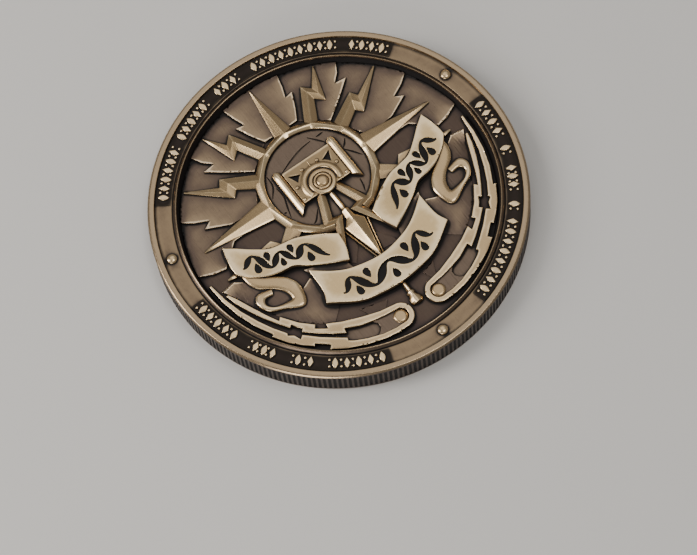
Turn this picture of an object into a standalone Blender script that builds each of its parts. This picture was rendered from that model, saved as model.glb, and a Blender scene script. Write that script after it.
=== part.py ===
# Challenge coin: a reeded rim ring, a core disc seated in its stepped bore, and relief pieces
# pegged to the core. Metres, +Z up. The coin lies on its reverse rim at z = 0, face up, with its
# axis on Z and the top of the design towards +Y.
import math

import bmesh
import bpy
from mathutils import Vector

MM = 0.001

# The coin's body.
COIN_RADIUS = 22.225 * MM
COIN_THICKNESS = 3.5 * MM
RIM_WIDTH = 0.78 * MM  # the plain flat round the outside
LEGEND_BAND_WIDTH = 2.11 * MM
BEAD_WIDTH = 0.56 * MM  # the thin raised line inside the legend band
FIELD_SLOPE_WIDTH = 0.33 * MM
FIELD_DEPTH = 1.2 * MM  # from the rim down to the field
BAND_DEPTH = 0.35 * MM
BEAD_DROP = 0.06 * MM
REVERSE_DEPTH = 0.4 * MM
EDGE_CHAMFER = 0.18 * MM
WALL_DRAFT = 0.08 * MM  # how far the band's side walls lean
REED_DEPTH = 0.16 * MM
REED_LAND = 0.45 * MM  # plain edge left above and below the reeds
RING_FACETS = 50
REEDS_PER_FACET = 3
SEAT_HEIGHT = 1.5 * MM  # where the core's flange meets the ring's shoulder
FLANGE_WIDTH = 0.86 * MM
FIT = 0.05 * MM  # clearance between pieces that touch

# Locating pegs.
PEG_RADIUS = 0.3 * MM
PEG_DEPTH = 0.6 * MM
PEG_ROOT = 0.15 * MM  # how far a peg is rooted in its own piece
PEG_SIDES = 6

# Relief heights above the field.
PLATE_LOW = 0.08 * MM
PLATE_HIGH = 0.32 * MM
HUB_HEIGHT = 0.15 * MM
SLOT_FLOOR_HEIGHT = 0.12 * MM
WHEEL_EDGE = 0.42 * MM
WHEEL_TOP = 0.72 * MM
SPIKE_TIP = 0.5 * MM
SIDE_RAY_TOP = 0.55 * MM
FOOT_RAY_EDGE = 0.12 * MM
FOOT_RAY_TOP = 0.26 * MM
CRESCENT_EDGE = 0.4 * MM
CRESCENT_TOP = 0.55 * MM
PAD_HEIGHT = 0.45 * MM
FOLD_HEIGHT = 0.42 * MM
DART_EDGE = 0.55 * MM
DART_TOP = 0.82 * MM
POINTER_TOP = 0.88 * MM
FINIAL_HEIGHT = 0.55 * MM
RIBBON_HEIGHT = 1.0 * MM
TAIL_EDGE = RIBBON_HEIGHT - 0.44 * MM
TAIL_TOP = RIBBON_HEIGHT - 0.36 * MM
ENAMEL_DEPTH = 0.2 * MM
ENAMEL_SUNK = 0.03 * MM
BLOCK_HEIGHT = 0.82 * MM
BAR_HEIGHT = 0.95 * MM
COLLAR_HEIGHT = 0.98 * MM
BOSS_HEIGHT = 1.12 * MM

# Legend strips, studs and reverse.
STRIP_MARGIN = 0.16 * MM  # gap from the strip to the band's walls
STRIP_BASE = 0.1 * MM
MOTIF_HEIGHT = 0.29 * MM
MOTIF_SLOPE = 0.3  # degrees of arc taken by a motif's end wall
STUD_RADIUS = 0.62 * MM
STUD_HEIGHT = 0.33 * MM
STUD_FLAT = 0.6  # share of a stud's radius that is level on top
REVERSE_RELIEF = 0.3 * MM
REVERSE_RING_WIDTH = 0.9 * MM
REVERSE_RING_REACH = 0.86  # share of the field's radius
REVERSE_STAR_POINTS = 8
REVERSE_STAR_REACH = 0.9  # share of the ring's inner radius
REVERSE_STAR_VALLEY = 0.34  # share of the star's reach, between its points
REVERSE_STAR_SHOULDER = 0.96
REVERSE_STAR_TABLE = 0.15

# Worked out from the sizes above.
RIM_INNER = COIN_RADIUS - RIM_WIDTH
BEAD_OUTER = RIM_INNER - LEGEND_BAND_WIDTH
BEAD_INNER = BEAD_OUTER - BEAD_WIDTH
FIELD_RADIUS = BEAD_INNER - FIELD_SLOPE_WIDTH
FLANGE_RADIUS = FIELD_RADIUS + FLANGE_WIDTH
FIELD_Z = COIN_THICKNESS - FIELD_DEPTH
BAND_Z = COIN_THICKNESS - BAND_DEPTH
SEAT_Z = FIELD_Z + FIT  # underside of a piece that stands on the field

# The design is drawn in artwork units. The field's radius is 0.83 of them.
FIELD_IN_ART = 0.83
ART = FIELD_RADIUS / FIELD_IN_ART

WHEEL_CENTRE = (0.0, 0.187)
WHEEL_HOLE = 0.281
WHEEL_CREST = (0.291, 0.312)
WHEEL_OUTER = 0.335
WHEEL_FACETS = 36
WHEEL_CORNERS = 12
WHEEL_OPENING = 36.0  # degrees left open below, where the darts and pointer pass

# Stations across each ray, from its root to its tip: one point on each side.
NORTH_SPIKE = [((-0.055, 0.49), (0.055, 0.49)), ((-0.004, 0.818), (0.004, 0.818))]
WEST_SPIKE = [((-0.30, 0.122), (-0.30, 0.258)), ((-0.722, 0.184), (-0.722, 0.192))]
UPPER_RAY = [
    ((-0.178, 0.430), (-0.112, 0.463)),
    ((-0.250, 0.5725), (-0.231, 0.6775)),
    ((-0.295, 0.535), (-0.276, 0.6325)),
    ((-0.361, 0.734), (-0.354, 0.737)),
]
MIDDLE_RAY = [
    ((-0.276, 0.311), (-0.231, 0.382)),
    ((-0.385, 0.385), (-0.4225, 0.490)),
    ((-0.415, 0.355), (-0.449, 0.449)),
    ((-0.618, 0.535), (-0.612, 0.541)),
]
SIDE_RAY = [
    ((-0.231, -0.010), (-0.285, 0.063)),
    ((-0.405, -0.110), (-0.375, -0.011)),
    ((-0.450, -0.075), (-0.412, 0.035)),
    ((-0.714, -0.020), (-0.714, -0.012)),
]
FOOT_RAY = [((-0.125, -0.110), (-0.193, -0.075)), ((-0.346, -0.556), (-0.354, -0.553))]

# The field plates' jagged edges, from the wheel outwards.
NORTH_EDGE = [(-0.104, 0.53), (-0.164, 0.61), (-0.179, 0.685), (-0.134, 0.681), (-0.1675, 0.76)]
UPPER_EDGE = [(-0.25, 0.4175), (-0.3625, 0.505), (-0.46, 0.584), (-0.3925, 0.591), (-0.445, 0.64)]
MIDDLE_EDGE = [(-0.36, 0.22), (-0.52, 0.239), (-0.644, 0.299), (-0.595, 0.325), (-0.67, 0.3625)]
SIDE_EDGE = [(-0.36, 0.155), (-0.56, 0.15), (-0.685, 0.0475), (-0.7525, 0.0625)]
SIDE_END = 173.5  # degrees where the side edge meets the rim; the others follow
MIDDLE_END = 150.8
UPPER_END = 124.5
NORTH_END = 102.2
LOWER_PLATE = [
    (-0.775, -0.05), (-0.700, -0.04), (-0.660, -0.07), (-0.620, -0.14), (-0.520, -0.22),
    (-0.460, -0.30), (-0.435, -0.29), (-0.372, -0.262), (-0.330, -0.30), (-0.330, -0.47),
    (-0.360, -0.50), (-0.415, -0.545), (-0.470, -0.50), (-0.550, -0.43), (-0.620, -0.335),
    (-0.690, -0.22), (-0.735, -0.12),
]  # fmt: skip

# The ribbons' edges, from the outer end to the inner one.
SIDE_RIBBON_TOP = [
    (-0.638, 0.142), (-0.58, 0.10), (-0.5125, 0.0475), (-0.4375, -0.003),
    (-0.3775, -0.021), (-0.3025, -0.0325), (-0.2125, -0.0775), (-0.1075, -0.1525),
]  # fmt: skip
SIDE_RIBBON_BOTTOM = [
    (-0.668, -0.015), (-0.60, -0.085), (-0.54, -0.127), (-0.475, -0.149),
    (-0.40, -0.164), (-0.3475, -0.1975), (-0.2125, -0.2725), (-0.150, -0.306),
]  # fmt: skip
LOWER_RIBBON_TOP = [(-0.355, -0.232), (-0.25, -0.31), (-0.1525, -0.355), (0.0, -0.385)]
LOWER_RIBBON_BOTTOM = [(-0.385, -0.4375), (-0.25, -0.524), (-0.1525, -0.554), (0.0, -0.5725)]
TAIL_INNER = [
    (-0.648, -0.055), (-0.645, -0.10), (-0.615, -0.155), (-0.56, -0.195), (-0.520, -0.24),
    (-0.507, -0.295), (-0.53, -0.303), (-0.60, -0.29), (-0.632, -0.26), (-0.632, -0.235),
    (-0.615, -0.22), (-0.575, -0.222),
]  # fmt: skip
TAIL_OUTER = [
    (-0.590, -0.060), (-0.575, -0.10), (-0.500, -0.155), (-0.455, -0.20), (-0.435, -0.26),
    (-0.450, -0.345), (-0.49, -0.368), (-0.57, -0.325), (-0.645, -0.29), (-0.672, -0.225),
    (-0.645, -0.18), (-0.565, -0.188),
]  # fmt: skip
FOLD = [
    ((-0.368, -0.205), (-0.345, -0.255)),
    ((-0.260, -0.245), (-0.235, -0.325)),
    ((-0.165, -0.295), (-0.150, -0.362)),
]
RIBBON_STATIONS = 12
ENAMEL_STATIONS = 16
ENAMEL_WAVES = 2.5
ENAMEL_SWING = 0.26  # share of the ribbon's width that the wave swings to each side
ENAMEL_HALF_WIDTH = 0.25 * MM

# The centre emblem.
BLOCK_HALF_WIDTH = 0.147
BLOCK_BOTTOM, BLOCK_TOP = 0.098, 0.305
BAR_OUTER = 0.190
BAR_BOTTOM, BAR_TOP = 0.080, 0.330
BOSS_CENTRE = (0.0, 0.142)
BOSS_RADIUS = 0.074
BOSS_SHOULDER = 0.72  # shares of the boss's radius
BOSS_TABLE = 0.5
COLLAR_RADIUS = 0.112
COLLAR_SPAN = (-22.0, 202.0)  # degrees: the collar is an arch, open below
DART = [
    ((-0.145, -0.082), (-0.078, -0.055)),
    ((-0.092, -0.094), (-0.028, -0.070)),
    ((-0.162, -0.270), (-0.150, -0.290)),
]
DART_ROOT = ((-0.072, 0.095), (-0.026, 0.095))
POINTER = [
    ((-0.011, 0.095), (0.011, 0.095)),
    ((-0.017, -0.060), (0.017, -0.060)),
    ((-0.056, -0.150), (0.056, -0.150)),
    ((-0.006, -0.377), (0.006, -0.377)),
]
FINIAL = [(0.013, -0.580), (0.013, -0.640), (0.020, -0.648), (0.028, -0.665), (0.026, -0.688)]

# The crescents: arms on arcs about the coin's centre, joined by a round end.
CRESCENT_END = (-0.121, -0.7165)
CRESCENT_END_RADIUS = 0.057
CRESCENT_HALF_WIDTH = 0.0145
CRESCENT_TIP_HALF_WIDTH = 0.004
ARM_TAPER = 1.6  # an arm has its full width beyond 1 / 1.6 of its length from the tip
PAD_FLAT = 0.7  # share of the pad's radius that is level on top
OUTER_ARM = (180.0, 0.803)  # degrees and radius at the tip
INNER_ARM = (187.0, 0.770)
ARM_STATIONS = 9
SLOT_SPAN = (222.0, 254.0)

# The three legends run clockwise. Each has its words' start and end angles, in degrees.
LEGENDS = {
    "legend_strip_top": [(143, 123), (120, 104), (100, 90), (85, 55), (51, 37.5)],
    "legend_strip_right": [(1, -14), (-17, -21), (-25, -34), (-38, -41), (-44, -73)],
    "legend_strip_left": [(250, 231), (227, 219), (214, 205), (200, 183)],
}
STRIP_OVERHANG = 1.5  # degrees of strip beyond its first and last words
STUDS = {"rim_stud_left": 164.1, "rim_stud_right": 15.9, "rim_stud_bottom": 270.0}

# Colour, roughness and metallic value of each finish.
FINISHES = {
    "rim": ((0.36, 0.26, 0.17), 0.36, 1.0),
    "field": ((0.20, 0.145, 0.105), 0.45, 1.0),
    "relief": ((0.48, 0.35, 0.22), 0.34, 1.0),
    "ground": ((0.075, 0.058, 0.05), 0.55, 1.0),
    "enamel": ((0.012, 0.012, 0.014), 0.3, 0.0),
}

pieces = {}
footprints = {}
sockets = {}


def art(point):
    """A point of the artwork, in metres."""
    return Vector((point[0] * ART, point[1] * ART))


def polar(radius, degrees, centre=(0.0, 0.0)):
    angle = math.radians(degrees)
    return (centre[0] + radius * math.cos(angle), centre[1] + radius * math.sin(angle))


def mix(a, b, share):
    return a + (b - a) * share


def mirrored(points):
    """Points, or pairs of points, turned over to the coin's right side."""
    if isinstance(points[0], (int, float)):
        return (-points[0], points[1])
    return type(points)(mirrored(point) for point in points)


def smooth_path(points, count):
    """Count points along a Catmull-Rom curve through the given ones."""
    ends = [Vector(p) for p in points]
    ends = [2 * ends[0] - ends[1]] + ends + [2 * ends[-1] - ends[-2]]
    path = []
    for index in range(count):
        place = index / (count - 1) * (len(points) - 1)
        leg = min(int(place), len(points) - 2)
        t = place - leg
        a, b, c, d = ends[leg : leg + 4]
        path.append(0.5 * (2 * b + (c - a) * t + (2 * a - 5 * b + 4 * c - d) * t**2
                           + (3 * b - a - 3 * c + d) * t**3))  # fmt: skip
    return [tuple(p) for p in path]


def widened(outline, distance):
    """A closed outline moved outwards by a distance, with mitred corners."""
    count = len(outline)
    area = sum(outline[i].cross(outline[(i + 1) % count]) for i in range(count))
    side = 1 if area > 0 else -1
    moved = []
    for i, corner in enumerate(outline):
        into = (corner - outline[i - 1]).normalized()
        away = (outline[(i + 1) % count] - corner).normalized()
        normal_in = Vector((into.y, -into.x)) * side
        normal_out = Vector((away.y, -away.x)) * side
        mitre = max(1 + normal_in.dot(normal_out), 0.25)
        moved.append(corner + (normal_in + normal_out) * (distance / mitre))
    return moved


def lofted(name, sections, closed=False):
    """One solid through rings of points: every ring has the same number of points. A closed
    loft joins its last ring to its first, and an open one has a flat face at each end."""
    bm = bmesh.new()
    rings = [[bm.verts.new(point) for point in section] for section in sections]
    pairs = list(zip(rings, rings[1:]))
    if closed:
        pairs.append((rings[-1], rings[0]))
    else:
        bm.faces.new(reversed(rings[0]))
        bm.faces.new(rings[-1])
    for low, high in pairs:
        for i in range(len(low)):
            j = (i + 1) % len(low)
            bm.faces.new((low[i], low[j], high[j], high[i]))
    return solid(name, bm)


def solid(name, bm):
    bmesh.ops.recalc_face_normals(bm, faces=bm.faces)
    mesh = bpy.data.meshes.new(name)
    bm.to_mesh(mesh)
    bm.free()
    obj = bpy.data.objects.new(name, mesh)
    bpy.context.scene.collection.objects.link(obj)
    return obj


def prism(name, outline, low, high):
    """An upright solid on an outline in metres. High is one height or one for each point."""
    tops = high if isinstance(high, list) else [high] * len(outline)
    return lofted(
        name,
        [
            [(p.x, p.y, low) for p in outline],
            [(p.x, p.y, top) for p, top in zip(outline, tops)],
        ],
    )


def circle(centre, radius, sides):
    return [centre + Vector(polar(radius, 360 * i / sides)) for i in range(sides)]


def ridged(name, stations, base, edges, crests):
    """A bar with a ridge: walls up to the edge heights, then sloping up to the crest line."""
    sections = []
    for (left, right), edge, crest in zip(stations, edges, crests):
        a, b = art(left), art(right)
        middle = (a + b) / 2
        sections.append(
            [(a.x, a.y, base), (a.x, a.y, edge), (middle.x, middle.y, crest),
             (b.x, b.y, edge), (b.x, b.y, base)]
        )  # fmt: skip
    return lofted(name, sections)


def outline_of(stations):
    return [art(left) for left, _ in stations] + [art(right) for _, right in reversed(stations)]


def steps(first, last, count):
    return [mix(first, last, i / (count - 1)) for i in range(count)]


def boolean(target, operation, tools):
    """Works one exact Boolean with all the tools together, and removes the tools."""
    if not tools:
        return
    group = bpy.data.collections.new("tools")
    bpy.context.scene.collection.children.link(group)
    for tool in tools:
        group.objects.link(tool)
    modifier = target.modifiers.new(operation.title(), "BOOLEAN")
    modifier.operand_type = "COLLECTION"
    modifier.collection = group
    modifier.operation = operation
    graph = bpy.context.evaluated_depsgraph_get()
    worked = bpy.data.meshes.new_from_object(target.evaluated_get(graph))
    target.modifiers.remove(modifier)
    target.data = worked
    for tool in tools:
        bpy.data.objects.remove(tool)
    bpy.data.collections.remove(group)


def clearance(name):
    """The space that a piece keeps free: its footprints, widened by the fit."""
    return [
        prism("clearance", widened(outline, FIT), FIELD_Z - PEG_DEPTH, top + FIT)
        for outline, top in footprints[name]
    ]


def seat(obj, finish, outlines, over=(), pegs=(), through=()):
    """Finishes a piece that stands on the field: it is cut to sit over lower pieces, and its
    pegs go down into sockets in the core, through the lower pieces named."""
    name = obj.name
    cutters = [cutter for lower in over for cutter in clearance(lower)]
    boolean(obj, "DIFFERENCE", cutters)
    add_pegs(obj, pegs, SEAT_Z, ("core_disc", *through))
    footprints[name] = outlines
    finish_piece(obj, finish)


def add_pegs(obj, places, seat_z, hosts, down=1):
    """Pegs under a piece, or over it with down = -1, and the sockets that they need."""
    pegs = []
    for place in places:
        centre = art(place)
        for radius, reach, into in (
            (PEG_RADIUS, PEG_DEPTH, None),
            *((PEG_RADIUS + FIT, PEG_DEPTH + FIT, host) for host in hosts),
        ):
            ends = sorted((seat_z - down * reach, seat_z + down * PEG_ROOT))
            cylinder = prism("peg", circle(centre, radius, PEG_SIDES), *ends)
            if into is None:
                pegs.append(cylinder)
            else:
                sockets.setdefault(into, []).append(cylinder)
    boolean(obj, "UNION", pegs)


def finish_piece(obj, finish):
    colour, roughness, metallic = FINISHES[finish]
    material = bpy.data.materials.new(f"{obj.name}_{finish}")
    material.use_nodes = True
    shader = material.node_tree.nodes["Principled BSDF"]
    shader.inputs["Base Color"].default_value = (*colour, 1.0)
    shader.inputs["Roughness"].default_value = roughness
    shader.inputs["Metallic"].default_value = metallic
    obj.data.materials.clear()
    obj.data.materials.append(material)
    obj.data.shade_smooth()
    obj.data.set_sharp_from_angle(angle=math.radians(32))
    pieces[obj.name] = obj


def make_rim_ring():
    """The ring is turned from one closed profile. Its edge has reeds: rows of points that go in
    and out, joined to the plain rows above and below by sloping ends."""
    reed_low = EDGE_CHAMFER + REED_LAND
    reed_high = COIN_THICKNESS - EDGE_CHAMFER - REED_LAND
    ramp = REED_DEPTH
    bead_top = COIN_THICKNESS - BEAD_DROP
    profile = [
        (COIN_RADIUS, reed_high + ramp),
        (COIN_RADIUS, COIN_THICKNESS - EDGE_CHAMFER),
        (COIN_RADIUS - EDGE_CHAMFER, COIN_THICKNESS),
        (RIM_INNER, COIN_THICKNESS),
        (RIM_INNER - WALL_DRAFT, BAND_Z),
        (BEAD_OUTER + WALL_DRAFT, BAND_Z),
        (BEAD_OUTER, bead_top),
        (BEAD_INNER, bead_top),
        (FIELD_RADIUS, FIELD_Z),
        (FIELD_RADIUS, SEAT_HEIGHT),
        (FLANGE_RADIUS + FIT, SEAT_HEIGHT),
        (FLANGE_RADIUS + FIT, REVERSE_DEPTH),
        (RIM_INNER - WALL_DRAFT, REVERSE_DEPTH),
        (RIM_INNER, 0.0),
        (COIN_RADIUS - EDGE_CHAMFER, 0.0),
        (COIN_RADIUS, EDGE_CHAMFER),
        (COIN_RADIUS, reed_low - ramp),
    ]
    bm = bmesh.new()
    rows = [
        [bm.verts.new((*polar(r, 360 * i / RING_FACETS), z)) for i in range(RING_FACETS)]
        for r, z in profile
    ]
    for low, high in zip(rows, rows[1:]):
        for i in range(RING_FACETS):
            j = (i + 1) % RING_FACETS
            bm.faces.new((low[i], low[j], high[j], high[i]))
    fine = RING_FACETS * REEDS_PER_FACET * 2
    share = fine // RING_FACETS
    reeds = [
        [
            bm.verts.new((*polar(COIN_RADIUS - REED_DEPTH * (i % 2), 360 * i / fine), z))
            for i in range(fine)
        ]
        for z in (reed_low, reed_high)
    ]
    for i in range(fine):
        j = (i + 1) % fine
        bm.faces.new((reeds[0][i], reeds[0][j], reeds[1][j], reeds[1][i]))
    for plain, row in ((rows[-1], reeds[0]), (rows[0], reeds[1])):
        for i in range(RING_FACETS):
            for k in range(share):
                a, b = row[i * share + k], row[(i * share + k + 1) % fine]
                bm.faces.new((a, b, plain[i if k < share // 2 else (i + 1) % RING_FACETS]))
            bm.faces.new(
                (plain[i], plain[(i + 1) % RING_FACETS], row[i * share + share // 2])
            )
    ring = solid("rim_ring", bm)
    finish_piece(ring, "rim")


def make_core_disc():
    """The core: a flat disc whose flange seats under the ring's shoulder."""
    flange_z = SEAT_HEIGHT - FIT
    profile = [
        (FLANGE_RADIUS, REVERSE_DEPTH),
        (FLANGE_RADIUS, flange_z),
        (FIELD_RADIUS - FIT, flange_z),
        (FIELD_RADIUS - FIT, FIELD_Z),
    ]
    sections = [
        [(*polar(r, 360 * i / RING_FACETS), z) for i in range(RING_FACETS)] for r, z in profile
    ]
    finish_piece(lofted("core_disc", sections), "field")


def make_studs():
    radius = (RIM_INNER + BEAD_OUTER) / 2
    base = BAND_Z + FIT
    for name, degrees in STUDS.items():
        centre = Vector(polar(radius, degrees))
        sections = [
            [(p.x, p.y, z) for p in circle(centre, r, 16)]
            for r, z in (
                (STUD_RADIUS, base),
                (STUD_RADIUS, BAND_Z + STUD_HEIGHT / 2),
                (STUD_RADIUS * STUD_FLAT, BAND_Z + STUD_HEIGHT),
            )
        ]
        stud = lofted(name, sections)
        add_pegs(stud, [centre / ART], base, ["rim_ring"])
        finish_piece(stud, "relief")


def make_legend_strips():
    """Strips inlaid in the legend band. A raised block stands where each word of a legend
    would be."""
    inner = BEAD_OUTER + WALL_DRAFT + STRIP_MARGIN
    outer = RIM_INNER - WALL_DRAFT - STRIP_MARGIN
    base = BAND_Z + FIT
    low, high = BAND_Z + STRIP_BASE, BAND_Z + MOTIF_HEIGHT
    for name, words in LEGENDS.items():
        stops = [(words[0][0] + STRIP_OVERHANG, low)]
        for start, end in words:
            stops += [
                (start, low), (start - MOTIF_SLOPE, high), (mix(start, end, 0.5), high),
                (end + MOTIF_SLOPE, high), (end, low),
            ]  # fmt: skip
        stops.append((words[-1][1] - STRIP_OVERHANG, low))
        sections = [
            [(*polar(inner, a), base), (*polar(inner, a), top),
             (*polar(outer, a), top), (*polar(outer, a), base)]
            for a, top in stops
        ]  # fmt: skip
        strip = lofted(name, sections)
        middle = (inner + outer) / 2 / ART
        pegs = [polar(middle, (words[i][0] + words[i][1]) / 2) for i in (0, -1)]
        add_pegs(strip, pegs, base, ["rim_ring"])
        finish_piece(strip, "relief")


def make_field_plates():
    """Plates that tile the field between jagged edges. Each one rises from its neighbour
    towards its own edge."""
    reach = (FIELD_RADIUS - 2 * FIT) / ART
    low, high = FIELD_Z + PLATE_LOW, FIELD_Z + PLATE_HIGH

    north = [*NORTH_EDGE, polar(reach, NORTH_END)]
    upper = [*UPPER_EDGE, polar(reach, UPPER_END)]
    middle = [*MIDDLE_EDGE, polar(reach, MIDDLE_END)]
    side = [*SIDE_EDGE, polar(reach, SIDE_END)]
    outline = [*north, *arc(NORTH_END, 180 - NORTH_END, reach), *reversed(mirrored(north))]
    plate("field_plate_north", outline, [high] * len(outline), (0.09, 0.60))
    sectors = {
        "upper": (beside(north), upper, arc(NORTH_END, UPPER_END, reach), (-0.27, 0.46)),
        "middle": (beside(upper), middle, arc(UPPER_END, MIDDLE_END, reach), (-0.53, 0.38)),
        "side": (beside(middle), side, arc(MIDDLE_END, SIDE_END, reach), (-0.75, 0.13)),
    }
    for label, (shared, own, rim, peg) in sectors.items():
        outline = [*shared, *rim, *reversed(own)]
        rise = [mix(low, high, (i + 1) / (len(rim) + 1)) for i in range(len(rim))]
        heights = [low] * len(shared) + rise + [high] * len(own)
        plate(f"field_plate_{label}_left", outline, heights, peg)
        plate(f"field_plate_{label}_right", mirrored(outline), heights, mirrored(peg))
    last = len(LOWER_PLATE) - 1
    heights = [high if i <= last / 2 else mix(high, low, i / last) for i in range(last + 1)]
    plate("field_plate_lower_left", LOWER_PLATE, heights, (-0.64, -0.25))
    plate("field_plate_lower_right", mirrored(LOWER_PLATE), heights, (0.64, -0.25))


def arc(first, last, radius, count=4):
    """The points between the ends of an arc about the coin's centre."""
    return [polar(radius, mix(first, last, i / count)) for i in range(1, count)]


def beside(points):
    """A plate's edge, seen from the next plate: moved anticlockwise by twice the fit."""
    moved = []
    for i, point in enumerate(points):
        before, after = points[max(i - 1, 0)], points[min(i + 1, len(points) - 1)]
        along = (Vector(after) - Vector(before)).normalized() * (2 * FIT / ART)
        moved.append((point[0] - along.y, point[1] + along.x))
    return moved


def plate(name, outline, heights, peg):
    points = [art(p) for p in outline]
    obj = prism(name, points, SEAT_Z, heights)
    seat(obj, "field", [(points, max(heights))], pegs=[peg])


def make_hub_plate():
    centre = art(WHEEL_CENTRE)
    points = circle(centre, WHEEL_HOLE * ART - FIT, 36)
    obj = prism("hub_plate", points, SEAT_Z, FIELD_Z + HUB_HEIGHT)
    seat(obj, "ground", [(points, FIELD_Z + HUB_HEIGHT)], pegs=[(-0.21, 0.24)])


def make_sun_wheel():
    """A faceted ring, open below, with straight spikes and zigzag rays joined to it."""
    centre = art(WHEEL_CENTRE)
    edge, top = FIELD_Z + WHEEL_EDGE, FIELD_Z + WHEEL_TOP
    corner = 360 / WHEEL_CORNERS
    first = 270 + WHEEL_OPENING / 2
    turn = 360 - WHEEL_OPENING
    sections, outer, inner = [], [], []
    for i in range(WHEEL_FACETS + 1):
        degrees = first + turn * i / WHEEL_FACETS
        off_flat = (degrees - 90) % corner - corner / 2
        reach = WHEEL_OUTER * math.cos(math.radians(corner / 2)) / math.cos(math.radians(off_flat))
        outer.append(art(polar(reach, degrees, WHEEL_CENTRE)))
        inner.append(art(polar(WHEEL_HOLE, degrees, WHEEL_CENTRE)))
        crests = [art(polar(r, degrees, WHEEL_CENTRE)) for r in WHEEL_CREST]
        sections.append(
            [(*inner[-1], SEAT_Z), (*inner[-1], edge), (*crests[0], top), (*crests[1], top),
             (*outer[-1], edge), (*outer[-1], SEAT_Z)]
        )  # fmt: skip
    wheel = lofted("sun_wheel", sections)
    outlines = [(outer + inner[::-1], top)]
    rays = [(NORTH_SPIKE, WHEEL_EDGE, WHEEL_TOP, SPIKE_TIP)]
    for shape, *heights in (
        (WEST_SPIKE, WHEEL_EDGE, WHEEL_TOP, SPIKE_TIP),
        (UPPER_RAY, WHEEL_EDGE, WHEEL_TOP, SPIKE_TIP),
        (MIDDLE_RAY, WHEEL_EDGE, WHEEL_TOP, SPIKE_TIP),
        (SIDE_RAY, WHEEL_EDGE, SIDE_RAY_TOP, SPIKE_TIP),
        (FOOT_RAY, FOOT_RAY_EDGE, FOOT_RAY_TOP, FOOT_RAY_TOP),
    ):
        rays += [(shape, *heights), (mirrored(shape), *heights)]
    solids = []
    for shape, ray_edge, root, tip in rays:
        count = len(shape)
        edges = [FIELD_Z + ray_edge - FIT] * count
        crests = steps(FIELD_Z + root - FIT, FIELD_Z + tip, count)
        solids.append(ridged("ray", shape, SEAT_Z, edges, crests))
        outlines.append((outline_of(shape), FIELD_Z + root))
    boolean(wheel, "UNION", solids)
    plates = [name for name in footprints if name.startswith("field_plate")]
    pegs = [polar(0.302, a, WHEEL_CENTRE) for a in (75, 165, 15, 225, 315)]
    seat(wheel, "relief", outlines, over=[*plates, "dart_left", "dart_right"], pegs=pegs)


def make_emblem():
    base = SEAT_Z
    for side, turn in (("left", lambda p: p), ("right", mirrored)):
        root = turn(DART_ROOT)
        stations = [root, *turn(DART)]
        edge, top = FIELD_Z + DART_EDGE, FIELD_Z + DART_TOP
        count = len(stations)
        dart = ridged(f"dart_{side}", stations, base, [edge] * count, [top] * count)
        # The footprint is as high as the coin, so that nothing made later crosses a dart.
        seat(dart, "relief", [(outline_of(stations), COIN_THICKNESS)], over=["hub_plate"],
             pegs=[turn((-0.095, -0.118))])  # fmt: skip
        bar_height = FIELD_Z + BAR_HEIGHT
        bar = rectangle(BLOCK_HALF_WIDTH + FIT / ART, BAR_OUTER, BAR_BOTTOM, BAR_TOP)
        points = [art(turn(p)) for p in bar]
        seat(prism(f"block_bar_{side}", points, base, bar_height), "relief",
             [(points, bar_height)], over=["hub_plate"], through=["hub_plate"],
             pegs=[turn(((BLOCK_HALF_WIDTH + BAR_OUTER) / 2, 0.2))])  # fmt: skip
    block_height = FIELD_Z + BLOCK_HEIGHT
    half = BLOCK_HALF_WIDTH
    points = [art(p) for p in rectangle(-half, half, BLOCK_BOTTOM, BLOCK_TOP)]
    seat(prism("centre_block", points, base, block_height), "relief",
         [(points, block_height)], over=["hub_plate"], through=["hub_plate"],
         pegs=[(-0.1, 0.27), (0.1, 0.27)])  # fmt: skip
    edges = [FIELD_Z + DART_EDGE] * 4
    tops = [FIELD_Z + DART_EDGE + FIT, FIELD_Z + DART_TOP, FIELD_Z + POINTER_TOP,
            FIELD_Z + DART_EDGE + FIT]  # fmt: skip
    pointer = ridged("pointer", POINTER, base, edges, tops)
    seat(pointer, "relief", [(outline_of(POINTER), FIELD_Z + POINTER_TOP)], over=["hub_plate"],
         pegs=[(0.0, -0.2)])  # fmt: skip
    make_boss_and_collar(block_height)
    left = [art(mirrored(p)) for p in FINIAL]
    points = left + [art(p) for p in reversed(FINIAL)]
    finial_height = FIELD_Z + FINIAL_HEIGHT
    seat(prism("finial", points, base, finial_height), "relief", [(points, finial_height)],
         pegs=[(0.0, -0.668)])  # fmt: skip


def rectangle(left, right, bottom, top):
    return [(left, bottom), (right, bottom), (right, top), (left, top)]


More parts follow.
